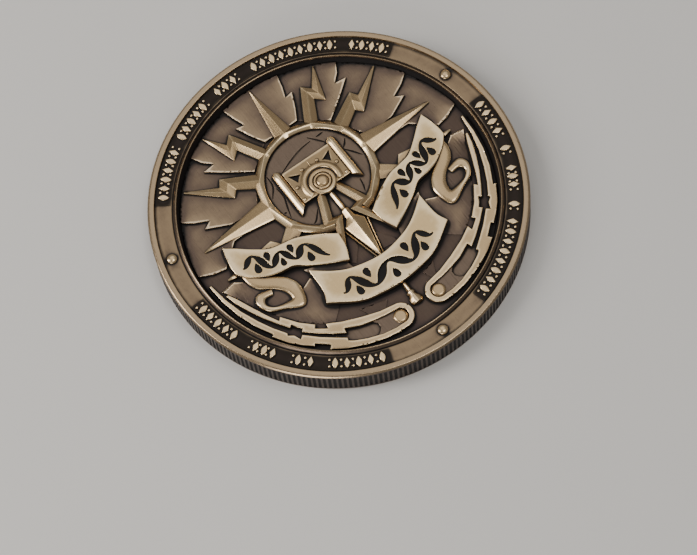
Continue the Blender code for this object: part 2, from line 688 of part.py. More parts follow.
def make_boss_and_collar(block_height):
    """The boss stands over the block, the darts' roots and the pointer. The collar is an arch
    on the block's face."""
    gap = FIT / ART
    collar_low, collar_high = block_height + FIT, FIELD_Z + COLLAR_HEIGHT
    first, last = COLLAR_SPAN
    sections = []
    for degrees in steps(first, last, 19):
        inner = art(polar(BOSS_RADIUS + gap, degrees, BOSS_CENTRE))
        outer = art(polar(COLLAR_RADIUS, degrees, BOSS_CENTRE))
        sections.append(
            [(*inner, collar_low), (*inner, collar_high), (*outer, collar_high),
             (*outer, collar_low)]
        )  # fmt: skip
    collar = lofted("boss_collar", sections)
    add_pegs(collar, [polar((BOSS_RADIUS + COLLAR_RADIUS) / 2, 90, BOSS_CENTRE)],
             collar_low, ["centre_block"])  # fmt: skip
    finish_piece(collar, "relief")
    boss_high = FIELD_Z + BOSS_HEIGHT
    centre = art(BOSS_CENTRE)
    radius = BOSS_RADIUS * ART
    profile = [
        (radius, SEAT_Z),
        (radius, collar_high),
        (radius * BOSS_SHOULDER, boss_high - 2 * FIT),
        (radius * BOSS_TABLE, boss_high),
    ]
    boss = lofted("boss", [[(*p, z) for p in circle(centre, r, 24)] for r, z in profile])
    over = ["hub_plate", "centre_block", "pointer"]
    tools = [cutter for lower in over for cutter in clearance(lower)]
    for name in ("dart_left", "dart_right"):
        outline = footprints[name][0][0]
        tools.append(prism("clearance", widened(outline, FIT), FIELD_Z - PEG_DEPTH,
                           FIELD_Z + DART_TOP + FIT))  # fmt: skip
    boolean(boss, "DIFFERENCE", tools)
    add_pegs(boss, [(0.0, 0.165)], block_height + FIT, ["centre_block"])
    finish_piece(boss, "relief")


def make_tails_and_folds():
    for side, turn in (("left", lambda p: p), ("right", mirrored)):
        stations = turn(list(zip(TAIL_INNER, TAIL_OUTER)))
        count = len(stations)
        edge, top = FIELD_Z + TAIL_EDGE, FIELD_Z + TAIL_TOP
        tail = ridged(f"ribbon_tail_{side}", stations, SEAT_Z, [edge] * count, [top] * count)
        lower = [f"field_plate_lower_{side}", "sun_wheel"]
        seat(tail, "relief", [(outline_of(stations), top)], over=lower,
             pegs=[turn((-0.478, -0.235))])  # fmt: skip
        stations = turn(FOLD)
        high = FIELD_Z + FOLD_HEIGHT
        points = outline_of(stations)
        fold = prism(f"ribbon_fold_{side}", points, SEAT_Z, high)
        seat(fold, "ground", [(points, high)], over=["sun_wheel_foot_rays"],
             pegs=[turn((-0.20, -0.305))])  # fmt: skip


def make_ribbons():
    for side, turn in (("left", lambda p: p), ("right", mirrored)):
        tops = smooth_path(turn(SIDE_RIBBON_TOP), RIBBON_STATIONS)
        bottoms = smooth_path(turn(SIDE_RIBBON_BOTTOM), RIBBON_STATIONS)
        lower = [f"field_plate_lower_{side}", f"field_plate_side_{side}", "sun_wheel",
                 f"ribbon_tail_{side}", f"ribbon_fold_{side}", f"dart_{side}"]  # fmt: skip
        ribbon(side, tops, bottoms, lower, [turn((-0.60, 0.055)), turn((-0.31, -0.14))])
    top = LOWER_RIBBON_TOP + mirrored(LOWER_RIBBON_TOP[:-1])[::-1]
    bottom = LOWER_RIBBON_BOTTOM + mirrored(LOWER_RIBBON_BOTTOM[:-1])[::-1]
    lower = ["field_plate_lower_left", "field_plate_lower_right", "ribbon_fold_left",
             "ribbon_fold_right", "sun_wheel"]  # fmt: skip
    ribbon("lower", smooth_path(top, RIBBON_STATIONS + 1), smooth_path(bottom, RIBBON_STATIONS + 1),
           lower, [(-0.1, -0.46), (0.1, -0.46)])  # fmt: skip


def ribbon(label, tops, bottoms, lower, pegs):
    """A ribbon and the enamel line that is inlaid in a groove in its face."""
    high = FIELD_Z + RIBBON_HEIGHT
    stations = list(zip(tops, bottoms))
    points = outline_of(stations)
    band = lofted(
        f"ribbon_{label}",
        [
            [(*art(a), SEAT_Z), (*art(a), high), (*art(b), high), (*art(b), SEAT_Z)]
            for a, b in stations
        ],
    )
    line = wave(stations)
    groove = stroke("groove", line, ENAMEL_HALF_WIDTH + FIT, high - ENAMEL_DEPTH - FIT, high + FIT)
    boolean(band, "DIFFERENCE", [groove])
    enamel = stroke(f"enamel_{label}", line, ENAMEL_HALF_WIDTH, high - ENAMEL_DEPTH,
                    high - ENAMEL_SUNK)  # fmt: skip
    finish_piece(enamel, "enamel")
    seat(band, "relief", [(points, high)], over=lower, pegs=pegs)


def wave(stations):
    """The enamel's centre line: a sine wave that runs along the middle of the ribbon."""
    line = []
    for i in range(ENAMEL_STATIONS + 1):
        share = mix(0.14, 0.86, i / ENAMEL_STATIONS)
        place = share * (len(stations) - 1)
        k = min(int(place), len(stations) - 2)
        a = art(stations[k][0]).lerp(art(stations[k + 1][0]), place - k)
        b = art(stations[k][1]).lerp(art(stations[k + 1][1]), place - k)
        swing = ENAMEL_SWING * math.sin(2 * math.pi * ENAMEL_WAVES * i / ENAMEL_STATIONS)
        line.append(a.lerp(b, 0.5 + swing))
    return line


def stroke(name, line, half_width, low, high):
    """A bar of even width along a line of points."""
    sections = []
    for i, point in enumerate(line):
        along = (line[min(i + 1, len(line) - 1)] - line[max(i - 1, 0)]).normalized()
        side = Vector((-along.y, along.x)) * half_width
        a, b = point + side, point - side
        sections.append([(*a, low), (*a, high), (*b, high), (*b, low)])
    return lofted(name, sections)


def make_crescents():
    """U-shaped prongs: an outer arm and an inner arm joined by a round end, with a slot
    between them that holds a stepped floor and a round pad."""
    end_radius = math.hypot(*CRESCENT_END)
    end_angle = math.degrees(math.atan2(CRESCENT_END[1], CRESCENT_END[0])) % 360
    outer_tip, outer_radius = OUTER_ARM
    inner_tip, inner_radius = INNER_ARM

    def outer_at(degrees):
        share = (degrees - outer_tip) / (end_angle - outer_tip)
        return mix(outer_radius, end_radius + CRESCENT_END_RADIUS, share)

    def inner_at(degrees):
        share = (degrees - inner_tip) / (end_angle - inner_tip)
        return mix(inner_radius, end_radius - CRESCENT_END_RADIUS, share)

    path = [polar(outer_at(a), a) for a in steps(outer_tip, end_angle, ARM_STATIONS)]
    path += [polar(CRESCENT_END_RADIUS, end_angle + a, CRESCENT_END) for a in (36, 72, 108, 144)]
    path += [polar(inner_at(a), a) for a in steps(end_angle, inner_tip, ARM_STATIONS)]
    count = len(path)
    base, edge, top = SEAT_Z, FIELD_Z + CRESCENT_EDGE, FIELD_Z + CRESCENT_TOP
    gap = FIT / ART
    for side, turn in (("left", lambda p: p), ("right", mirrored)):
        line = [Vector(turn(p)) for p in path]
        stations = []
        for i, point in enumerate(line):
            along = (line[min(i + 1, count - 1)] - line[max(i - 1, 0)]).normalized()
            from_tip = min(i, count - 1 - i) / (ARM_STATIONS - 1)
            half = mix(CRESCENT_TIP_HALF_WIDTH, CRESCENT_HALF_WIDTH, min(from_tip * ARM_TAPER, 1.0))
            offset = Vector((-along.y, along.x)) * half
            stations.append((tuple(point + offset), tuple(point - offset)))
        prong = ridged(f"crescent_{side}", stations, base, [edge] * count, [top] * count)
        pegs = [turn(polar(outer_at(a), a)) for a in (205, 240)] + [turn(polar(inner_at(230), 230))]
        seat(prong, "relief", [(outline_of(stations), top)], pegs=pegs)
        pad_radius = (CRESCENT_END_RADIUS - CRESCENT_HALF_WIDTH) * ART - FIT
        centre = art(turn(CRESCENT_END))
        pad_top = FIELD_Z + PAD_HEIGHT
        pad = lofted(
            f"crescent_pad_{side}",
            [
                [(*p, z) for p in circle(centre, r, 20)]
                for r, z in ((pad_radius, base), (pad_radius, pad_top - FIT * 3),
                             (pad_radius * PAD_FLAT, pad_top))
            ],
        )  # fmt: skip
        seat(pad, "relief", [(circle(centre, pad_radius, 20), pad_top)], pegs=[turn(CRESCENT_END)])
        slot = []
        floor_high = FIELD_Z + SLOT_FLOOR_HEIGHT
        for degrees in steps(*SLOT_SPAN, 7):
            wall = CRESCENT_HALF_WIDTH + gap
            slot.append((turn(polar(inner_at(degrees) + wall, degrees)),
                         turn(polar(outer_at(degrees) - wall, degrees))))  # fmt: skip
        points = outline_of(slot)
        seat(prism(f"crescent_floor_{side}", points, base, floor_high), "ground",
             [(points, floor_high)], pegs=[turn(polar(0.74, 238))])  # fmt: skip


def make_reverse():
    """The reverse: a ring and a plain star, applied to the core's underside."""
    high, low = REVERSE_DEPTH - FIT, REVERSE_DEPTH - REVERSE_RELIEF
    slope = FIT * 2
    outer = FIELD_RADIUS * REVERSE_RING_REACH
    inner = outer - REVERSE_RING_WIDTH
    sections = [
        [(*polar(r, 7.5 * i), z) for r, z in
         ((inner, high), (inner + slope, low), (outer - slope, low), (outer, high))]
        for i in range(48)
    ]  # fmt: skip
    ring = lofted("reverse_ring", sections, closed=True)
    middle = (inner + outer) / 2 / ART
    add_pegs(ring, [polar(middle, a) for a in (30, 150, 270)], high, ["core_disc"], down=-1)
    finish_piece(ring, "relief")
    count = REVERSE_STAR_POINTS * 2
    star_radius = inner * REVERSE_STAR_REACH

    reaches = [star_radius, star_radius * REVERSE_STAR_VALLEY] * REVERSE_STAR_POINTS

    def star(scale, z):
        return [(*polar(reach * scale, 90 + 360 * i / count), z) for i, reach in enumerate(reaches)]

    levels = [(1.0, high), (REVERSE_STAR_SHOULDER, high - slope), (REVERSE_STAR_TABLE, low)]
    star_obj = lofted("reverse_star", [star(scale, z) for scale, z in levels])
    add_pegs(star_obj, [polar(star_radius / ART * 0.25, a) for a in (90, 270)], high,
             ["core_disc"], down=-1)  # fmt: skip
    finish_piece(star_obj, "relief")


def cut_sockets():
    for host, tools in sockets.items():
        boolean(pieces[host], "DIFFERENCE", tools)
        pieces[host].data.shade_smooth()
        pieces[host].data.set_sharp_from_angle(angle=math.radians(32))


for old in list(bpy.data.objects):
    bpy.data.objects.remove(old)

make_rim_ring()
make_core_disc()
make_studs()
make_legend_strips()
make_field_plates()
make_hub_plate()
make_emblem()
make_sun_wheel()
footprints["sun_wheel_foot_rays"] = footprints["sun_wheel"][-2:]
make_crescents()
make_tails_and_folds()
make_ribbons()
make_reverse()
cut_sockets()
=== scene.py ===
import math

import bpy
import numpy as np
from mathutils import Matrix, Vector
from mathutils.geometry import delaunay_2d_cdt


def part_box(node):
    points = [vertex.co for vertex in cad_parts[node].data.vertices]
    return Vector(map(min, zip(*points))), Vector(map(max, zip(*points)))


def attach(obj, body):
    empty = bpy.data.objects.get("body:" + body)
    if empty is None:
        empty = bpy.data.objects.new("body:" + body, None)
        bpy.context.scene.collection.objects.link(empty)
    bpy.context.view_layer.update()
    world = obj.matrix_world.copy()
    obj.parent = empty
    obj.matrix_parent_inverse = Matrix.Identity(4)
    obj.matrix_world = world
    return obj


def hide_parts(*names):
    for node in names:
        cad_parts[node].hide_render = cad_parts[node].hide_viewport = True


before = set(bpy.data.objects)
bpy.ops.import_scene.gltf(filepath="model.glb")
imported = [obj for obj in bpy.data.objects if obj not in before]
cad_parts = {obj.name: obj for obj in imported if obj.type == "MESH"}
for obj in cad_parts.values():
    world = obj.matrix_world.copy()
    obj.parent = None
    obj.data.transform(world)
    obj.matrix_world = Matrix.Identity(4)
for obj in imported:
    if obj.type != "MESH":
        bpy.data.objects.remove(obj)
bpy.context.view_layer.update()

# A challenge coin in antique bronze, face up. Shapes are worked in millimetres, and the design
# on its face is drawn in a unit of its own, taken from the sun wheel's east spike.
mm = 0.001
spikeReach = 0.722
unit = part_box("sun_wheel")[1].x / spikeReach / mm
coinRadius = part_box("rim_ring")[1].x / mm
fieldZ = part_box("core_disc")[1].z / mm
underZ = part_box("core_disc")[0].z / mm
made = []


def topOf(node):
    # the node's highest level in millimetres
    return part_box(node)[1].z / mm


def polar(radius, degrees, centre=(0.0, 0.0)):
    # points on a circle: centre + radius * (cos, sin)
    turn = np.radians(np.asarray(degrees, float))
    return np.stack([centre[0] + radius * np.cos(turn), centre[1] + radius * np.sin(turn)], -1)


def onCurve(points, count):
    # Catmull-Rom on each leg: (2b + (c-a)t + (2a-5b+4c-d)t^2 + (3b-a-3c+d)t^3) / 2
    p = np.asarray(points, float)
    p = np.vstack([2 * p[0] - p[1], p, 2 * p[-1] - p[-2]])
    place = np.linspace(0, len(points) - 1, count)
    leg = np.minimum(place.astype(int), len(points) - 2)
    t = (place - leg)[:, None]
    a, b, c, d = (p[leg + k] for k in range(4))
    return 0.5 * (2 * b + (c - a) * t + (2 * a - 5 * b + 4 * c - d) * t**2
                  + (3 * b - a - 3 * c + d) * t**3)


def onLegs(points, perLeg):
    # straight legs between the points, each cut into the same number of steps
    p = np.asarray(points, float)
    place = np.linspace(0, len(p) - 1, (len(p) - 1) * perLeg + 1)
    leg = np.minimum(place.astype(int), len(p) - 2)
    t = (place - leg)[:, None]
    return p[leg] * (1 - t) + p[leg + 1] * t


def spaced(loop, step):
    # a closed outline with every side cut into equal steps no longer than the given one
    ends = np.roll(loop, -1, 0)
    cuts = np.maximum(np.ceil(np.linalg.norm(ends - loop, axis=1) / step), 1).astype(int)
    which = np.repeat(np.arange(len(loop)), cuts)
    share = (np.arange(len(which)) - np.repeat(np.cumsum(cuts) - cuts, cuts)) / cuts[which]
    return loop[which] + (ends - loop)[which] * share[:, None]


def softened(points, reach, steps=2):
    # an open line on which each corner becomes a parabola that starts and ends at most reach away
    p = np.asarray(points, float)
    before, after = np.roll(p, 1, 0) - p, np.roll(p, -1, 0) - p
    cut = [np.minimum(reach / np.maximum(np.linalg.norm(v, axis=1), 1e-9), 0.45)[:, None] * v
           for v in (before, after)]
    s = np.linspace(0, 1, steps + 1)[None, :, None]
    arc = p[:, None] + (1 - s) ** 2 * cut[0][:, None] + s**2 * cut[1][:, None]
    return np.vstack([p[:1], arc[1:-1].reshape(-1, p.shape[1]), p[-1:]])


def areaOf(loop):
    # half the sum of x1 y2 - x2 y1, which is positive for an outline that runs anticlockwise
    x, y = loop[:, 0], loop[:, 1]
    return 0.5 * np.sum(x * np.roll(y, -1) - y * np.roll(x, -1))


def inset(loop, distance):
    # every point moves to its left along the mitre of its two sides
    into, away = loop - np.roll(loop, 1, 0), np.roll(loop, -1, 0) - loop
    into /= np.linalg.norm(into, axis=1)[:, None]
    away /= np.linalg.norm(away, axis=1)[:, None]
    side = into + away
    mitre = np.maximum(1 + (into * away).sum(1), 0.08)
    return loop + np.stack([-side[:, 1], side[:, 0]], 1) * (distance / mitre)[:, None]


def roomFor(loop, distance):
    # how far each point can move in: less at a corner so sharp that a side would turn back on itself
    reach = np.full(len(loop), float(distance))
    for _ in range(12):
        rim = inset(loop, reach)
        folded = ((np.roll(rim, -1, 0) - rim) * (np.roll(loop, -1, 0) - loop)).sum(1) <= 0
        reach[folded | np.roll(folded, 1)] *= 0.6
    return reach


def insideOf(points, loops):
    # even-odd rule: a point is inside where a ray to its right crosses the outlines an odd number of times
    odd = np.zeros(len(points), bool)
    x, y = points[:, :1], points[:, 1:]
    for loop in loops:
        a, b = loop, np.roll(loop, -1, 0)
        spans = (a[:, 1] > y) != (b[:, 1] > y)
        rise = np.where(b[:, 1] == a[:, 1], 1e-12, b[:, 1] - a[:, 1])
        odd ^= ((spans & (x < a[:, 0] + (y - a[:, 1]) / rise * (b[:, 0] - a[:, 0]))).sum(1) % 2).astype(bool)
    return odd


def distanceTo(points, line):
    # least distance from each point to the line's segments
    a, b = np.asarray(line[:-1], float), np.asarray(line[1:], float)
    along = b - a
    reach = np.maximum((along**2).sum(1), 1e-12)
    share = np.clip(((points[:, None] - a) * along).sum(2) / reach, 0, 1)
    return np.linalg.norm(points[:, None] - a - share[..., None] * along, axis=2).min(1)


class Body:
    # closed surfaces: points in millimetres, with quads, triangles and plane caps between them
    def __init__(self):
        self.points, self.quads, self.tris = np.zeros((0, 3)), np.zeros((0, 4), int), np.zeros((0, 3), int)
        self.caps = []

    def add(self, points):
        first = len(self.points)
        self.points = np.vstack([self.points, np.asarray(points, float).reshape(-1, 3)])
        return np.arange(first, len(self.points))

    def skin(self, index):
        # quads over rows and columns of point numbers, with the last column joined to the first
        index = np.column_stack([index, index[:, 0]])
        cells = np.stack([index[:-1, :-1], index[1:, :-1], index[1:, 1:], index[:-1, 1:]], -1)
        self.quads = np.vstack([self.quads, cells.reshape(-1, 4)])

    def join(self, *others):
        for other in others:
            shift = len(self.points)
            self.points = np.vstack([self.points, other.points])
            self.quads = np.vstack([self.quads, other.quads + shift])
            self.tris = np.vstack([self.tris, other.tris + shift])
            self.caps += [[i + shift for i in cap] for cap in other.caps]
        return self

    def turnedOver(self):
        self.quads, self.tris = self.quads[:, ::-1], self.tris[:, ::-1]
        self.caps = [cap[::-1] for cap in self.caps]
        return self

    def mirrored(self):
        # the same body on the coin's other side
        twin = Body().join(self)
        twin.points = twin.points * (-1, 1, 1)
        return twin.turnedOver()

    def triangles(self):
        fans = [[cap[0], cap[i], cap[i + 1]] for cap in self.caps for i in range(1, len(cap) - 1)]
        fans = np.array(fans, int).reshape(-1, 3)
        return np.vstack([self.quads[:, :3], self.quads[:, [0, 2, 3]], self.tris, fans])

    def outward(self):
        # turned over if its volume, a sum of a . (b x c) / 6, comes out negative
        a, b, c = (self.points[self.triangles()[:, k]] for k in range(3))
        return self.turnedOver() if (a * np.cross(b, c)).sum() < 0 else self


def keep(name, body, finish, slot, *nodes):
    # a finished body goes on the list, with the nodes that it stands for
    made.append({"name": name, "body": body, "finish": finish, "slot": slot, "nodes": nodes})


def keepPair(name, body, finish, slot):
    # a piece drawn on the left, and its mirror image
    for side, shape in (("left", body), ("right", body.mirrored())):
        keep(f"{name}_{side}", shape, finish, slot, f"{name}_{side}")


def loft(rings, ringed=False):
    # rings of points joined in order; an open loft has a plane cap at each end
    rings = np.asarray(rings, float)
    body = Body()
    index = body.add(rings).reshape(rings.shape[:2])
    body.skin(np.vstack([index, index[:1]]) if ringed else index)
    if not ringed:
        body.caps += [index[0].tolist(), index[-1][::-1].tolist()]
    return body.outward()


def lathe(profile, columns, centre=(0.0, 0.0), ringed=False):
    # a profile of (radius, height) carried round an upright axis
    profile = np.asarray(profile, float)
    turn = np.arange(columns) * 2 * np.pi / columns
    radius, height = profile[:, :1], profile[:, 1:2]
    rings = np.stack([centre[0] + radius * np.cos(turn), centre[1] + radius * np.sin(turn),
                      height + 0 * turn], -1)
    return loft(rings, ringed)


def slab(outline, top, base, holes=(), floor=None, rounding=0.05, holeRounding=0.03, step=0.18, filled=True,
         wallRows=2):
    # an upright body on an outline: a quarter round leads from its face to its wall. The face's
    # height is a number or a function of place. Holes have a floor, and the face has points
    # all over it where filled is true.
    body = Body()
    height = top if callable(top) else (lambda p: np.full(len(p), float(top)))
    faceLoops, faceIndex = [], []
    drops = [(1, base, outline, rounding)] + [(-1, floor, hole, holeRounding) for hole in holes]
    for sign, bottom, loop, curve in drops:
        loop = np.asarray(loop, float)
        loop = loop if areaOf(loop) * sign > 0 else loop[::-1]
        if filled:
            loop = spaced(loop, step)
        curve = roomFor(loop, curve)
        rim = inset(loop, curve)
        z = height(rim)
        rows = [np.column_stack([inset(loop, curve * (1 - math.sin(q))), z - curve * (1 - math.cos(q))])
                for q in np.radians((0, 30, 60, 90))]
        for k in range(1, wallRows + 1):
            rows.append(np.column_stack([loop, (z - curve) + (bottom - z + curve) * k / wallRows]))
        index = body.add(np.array(rows)).reshape(len(rows), -1)
        body.skin(index)
        body.caps.append(index[-1][::-1].tolist())
        faceLoops.append(rim)
        faceIndex.append(index[0])
    if not filled and not holes:
        body.caps.append(faceIndex[0].tolist())
        return body
    inner = hexGrid(faceLoops, step) if filled else np.zeros((0, 2))
    index = np.concatenate(faceIndex + [body.add(np.column_stack([inner, height(inner)]))])
    edges, first = [], 0
    for loop in faceLoops:
        ring = first + np.arange(len(loop))
        edges.append(np.stack([ring, np.roll(ring, -1)], 1))
        first += len(loop)
    flat = np.vstack(faceLoops + [inner])
    cells = np.array(delaunay_2d_cdt(flat.tolist(), np.vstack(edges).tolist(), [], 0, 1e-7)[2])
    assert cells.max() < len(flat), "an outline crosses itself"
    corner = flat[cells]
    cells = cells[insideOf(corner.mean(1), faceLoops)]
    corner = flat[cells]
    side, rest = corner[:, 1] - corner[:, 0], corner[:, 2] - corner[:, 0]
    wrong = side[:, 0] * rest[:, 1] - side[:, 1] * rest[:, 0] < 0
    cells[wrong] = cells[wrong][:, ::-1]
    body.tris = np.vstack([body.tris, index[cells]])
    return body


def hexGrid(loops, step):
    # rows of points, each row shifted by half a step, kept clear of the outlines
    low, high = loops[0].min(0), loops[0].max(0)
    rows = np.arange(low[1], high[1], step * 0.87)
    columns = np.arange(low[0], high[0], step)
    x, y = np.meshgrid(columns, rows)
    x = x + (np.arange(len(rows)) % 2)[:, None] * step / 2
    points = np.stack([x.ravel(), y.ravel()], 1)
    points = points[insideOf(points, loops)]
    near = np.min([distanceTo(points, np.vstack([loop, loop[:1]])) for loop in loops], 0)
    return points[near > step * 0.55]


def bar(stations, base, edges, crests, count=10, curved=False, power=1, lip=0.04):
    # a bar between a left and a right line. Across it, from a = -1 to 1, its face rises from the
    # edge height to the crest as 1 - |a|^power: 1 is a ridge, 2 a rounded back, 4 a flatter one.
    left, right = (np.array([s[k] for s in stations], float) * unit for k in (0, 1))
    stops = len(left)
    values = np.column_stack([left, right, np.broadcast_to(edges, stops), np.broadcast_to(crests, stops)])
    values = onCurve(values, count * (len(left) - 1) + 1) if curved else onLegs(values, count)
    half = np.array([0.04, 0.12, 0.3, 0.55, 0.8, 0.94, 0.985, 1.0, 1.0])
    drop = np.array([0, 0, 0, 0, 0, 0, 0.3, 1.0, 1.0]) * lip
    a = np.concatenate([-half[::-1], [0], half])
    drop = np.concatenate([drop[::-1], [0], drop])
    rise = 1 - a**power if power > 1 else 1 - np.abs(a)
    z = values[:, 4:5] + (values[:, 5:6] - values[:, 4:5]) * rise - drop
    z[:, [0, -1]] = base
    share = ((1 + a) / 2)[None, :, None]
    xy = values[:, None, 0:2] * (1 - share) + values[:, None, 2:4] * share
    return loft(np.concatenate([xy, z[..., None]], 2))


def dome(place, radius, base, height, columns=32, rows=8, flat=0.0):
    # a quarter ellipse carried round; flat is the share of the radius that stays level on top
    turn = np.linspace(0, np.pi / 2, rows)
    r = radius * (flat + (1 - flat) * np.cos(turn))
    r[-1] = max(r[-1], radius * 0.04)
    wall = base + (height - base) * 0.35
    profile = np.column_stack([r, wall + (height - wall) * np.sin(turn)])
    return lathe(np.vstack([[radius, base], profile]), columns, place)


def scaled(points):
    # from the unit of the face's design to millimetres
    return np.asarray(points, float) * unit


def flipped(points):
    # mirrored in the coin's upright axis
    return np.asarray(points, float) * (-1, 1)


def makeRimRing():
    # One closed profile of (radius, height) is carried round. On the reeded wall the radius is less
    # by reedDepth * ((1 - cos(reeds * angle)) / 2) ^ sharpness: narrow grooves between broad reeds.
    s = {"flat": 0.78, "band": 2.11, "bandDrop": 0.35, "bead": 0.56, "beadDrop": 0.06, "slope": 0.33,
         "draft": 0.08, "chamfer": 0.18, "reeds": 240, "reedDepth": 0.15, "reedLand": 0.22,
         "columnsPerReed": 5, "sharpness": 2.4, "seat": 1.5, "flange": 0.91, "softening": 0.07, "step": 0.36}
    face = topOf("rim_ring")
    inner = coinRadius - s["flat"]
    beadOut = inner - s["band"]
    beadIn = beadOut - s["bead"]
    fieldRadius = beadIn - s["slope"]
    band = face - s["bandDrop"]
    low, high = s["chamfer"] + s["reedLand"], face - s["chamfer"] - s["reedLand"]
    outer = [(coinRadius, s["chamfer"]), (coinRadius, low - s["reedDepth"] / 2), (coinRadius, low),
             (coinRadius, high), (coinRadius, high + s["reedDepth"] / 2), (coinRadius, face - s["chamfer"])]
    turned = [(coinRadius - s["chamfer"], face), (inner, face), (inner - s["draft"], band),
              (beadOut + 0.07, band), (beadOut + 0.01, band - 0.09), (beadOut - 0.06, band + 0.03),
              (beadIn + 0.20, face - s["beadDrop"]), (beadIn + 0.08, face - s["beadDrop"]),
              (beadIn, face - 0.48), (beadIn - s["slope"] * 0.75, fieldZ + 0.12),
              (fieldRadius, fieldZ - 0.05), (fieldRadius, s["seat"]),
              (fieldRadius + s["flange"], s["seat"]), (fieldRadius + s["flange"], underZ),
              (inner - s["draft"], underZ), (inner, 0.0), (coinRadius - s["chamfer"], 0.0)]
    rounds = softened(np.vstack([outer[-1:], turned, outer[:1]]), s["softening"])
    profile = spaced(np.vstack([outer[1:-1], rounds]), s["step"])
    columns = s["reeds"] * s["columnsPerReed"]
    turn = np.arange(columns) * 2 * np.pi / columns
    close = 1e-6
    onWall = (profile[:, 0] > coinRadius - close) & (abs(profile[:, 1] - (low + high) / 2) < (high - low) / 2 + close)
    groove = (0.5 - 0.5 * np.cos(s["reeds"] * turn)) ** s["sharpness"]
    radius = profile[:, :1] - s["reedDepth"] * onWall[:, None] * groove
    rings = np.stack([radius * np.cos(turn), radius * np.sin(turn), profile[:, 1:] + 0 * turn], -1)
    keep("rim_ring", loft(rings, ringed=True), "rim", "rim", "rim_ring")
    return {"inner": inner, "beadOut": beadOut, "band": band, "field": fieldRadius, "draft": s["draft"]}


def makeCore():
    # a flat disc, which is a profile carried round, with four thin slivers on its face
    s = {"faceStep": 0.2, "underStep": 0.3, "columns": 400, "centre": 0.12, "shardRise": 0.07}
    reach = ringSizes["field"] - 0.03
    face = np.arange(s["centre"], reach, s["faceStep"])
    under = np.arange(s["centre"], reach, s["underStep"])[::-1]
    profile = [*[(r, fieldZ) for r in (*face, reach)], *[(r, underZ) for r in (reach, *under)]]
    core = lathe(profile, s["columns"])
    shards = [
        [(-0.125, -0.335), (-0.062, -0.262), (-0.052, -0.15), (-0.16, -0.30)],
        [(0.058, -0.245), (0.122, -0.345), (0.105, -0.36), (0.035, -0.35)],
        [(0.113, -0.585), (0.142, -0.642), (0.165, -0.635), (0.20, -0.56)],
        [(-0.118, -0.595), (-0.158, -0.64), (-0.235, -0.622), (-0.265, -0.555)],
    ]
    for shard in shards:
        core.join(slab(scaled(shard), fieldZ + s["shardRise"], fieldZ - 0.1, rounding=0.02))
    keep("core_disc", core, "floor", "field", "core_disc")


def makeStuds():
    # three low domes, half way across the band
    s = {"radius": 0.62, "height": 0.36, "places": {"left": 164.1, "right": 15.9, "bottom": 270.0}}
    middle, band = (ringSizes["inner"] + ringSizes["beadOut"]) / 2, ringSizes["band"]
    for name, degrees in s["places"].items():
        stud = dome(polar(middle, degrees), s["radius"], band - 0.05, band + s["height"], 48, 12)
        keep(f"rim_stud_{name}", stud, "relief", "relief", f"rim_stud_{name}")


def vesica(width, height, count=7):
    # a leaf: x = +-width / 2 * cos(t) at the height t, so that both ends come to a point
    t = np.linspace(-np.pi / 2, np.pi / 2, count)
    right = np.column_stack([width / 2 * np.cos(t), height * t / np.pi])
    return np.vstack([right[:-1], -right[:-1]])


def borderMotif(number, s):
    # one step of the border, about its own middle: a leaf or a lozenge, then a pair of beads
    h, w = s["height"], s["pitch"]
    middle = -w * 0.16
    lozenge = np.array([(w * 0.30, 0), (0, h * 0.5), (-w * 0.30, 0), (0, -h * 0.5)])
    large = lozenge if number % 2 else vesica(w * 0.58, h)
    beads = [polar(s["bead"], np.arange(0, 360, 36), (w * 0.36, h * k)) for k in (-0.29, 0.29)]
    return [large + (middle, 0), *beads]


def makeLegendStrips():
    # Each strip is a rectangle carried along an arc of the band. Its border repeats the motif, in
    # groups between two angles, turned square to the arc.
    s = {"margin": 0.13, "ground": 0.09, "rise": 0.31, "height": 1.40, "pitch": 1.25, "bead": 0.15,
         "overhang": 1.5,
         "words": {"top": [(143, 123), (120, 104), (100, 90), (85, 55), (51, 37.5)],
                   "right": [(1, -14), (-17, -21), (-25, -34), (-38, -41), (-44, -73)],
                   "left": [(250, 231), (227, 219), (214, 205), (200, 183)]}}
    inner = ringSizes["beadOut"] + ringSizes["draft"] + s["margin"]
    outer = ringSizes["inner"] - ringSizes["draft"] - s["margin"]
    middle = (inner + outer) / 2
    band = ringSizes["band"]
    across = np.linspace(inner, outer, 9)
    for name, words in s["words"].items():
        turn = np.arange(words[0][0] + s["overhang"], words[-1][1] - s["overhang"], -0.5)
        rings = []
        for z, radii in ((band + s["ground"], across), (band - 0.02, across[::-1])):
            lines = [np.column_stack([polar(r, turn), np.full(len(turn), z)]) for r in radii]
            rings.append(np.stack(lines, 1))
        strip = loft(np.concatenate(rings, 1))
        keep(f"legend_strip_{name}", strip, "black", "ground", f"legend_strip_{name}")
        border, number = Body(), 0
        for start, end in words:
            count = max(round((start - end) * math.pi / 180 * middle / s["pitch"]), 1)
            for degrees in start + (end - start) * (np.arange(count) + 0.5) / count:
                spin = math.radians(degrees - 90)
                cos, sin = math.cos(spin), math.sin(spin)
                for shape in borderMotif(number, s):
                    placed = shape @ np.array([[cos, sin], [-sin, cos]]) + polar(middle, degrees)
                    border.join(slab(placed, band + s["rise"], band + s["ground"] - 0.03, rounding=0.07,
                                     filled=False, wallRows=1))
                number += 1
        keep(f"legend_border_{name}", border, "relief", "relief")


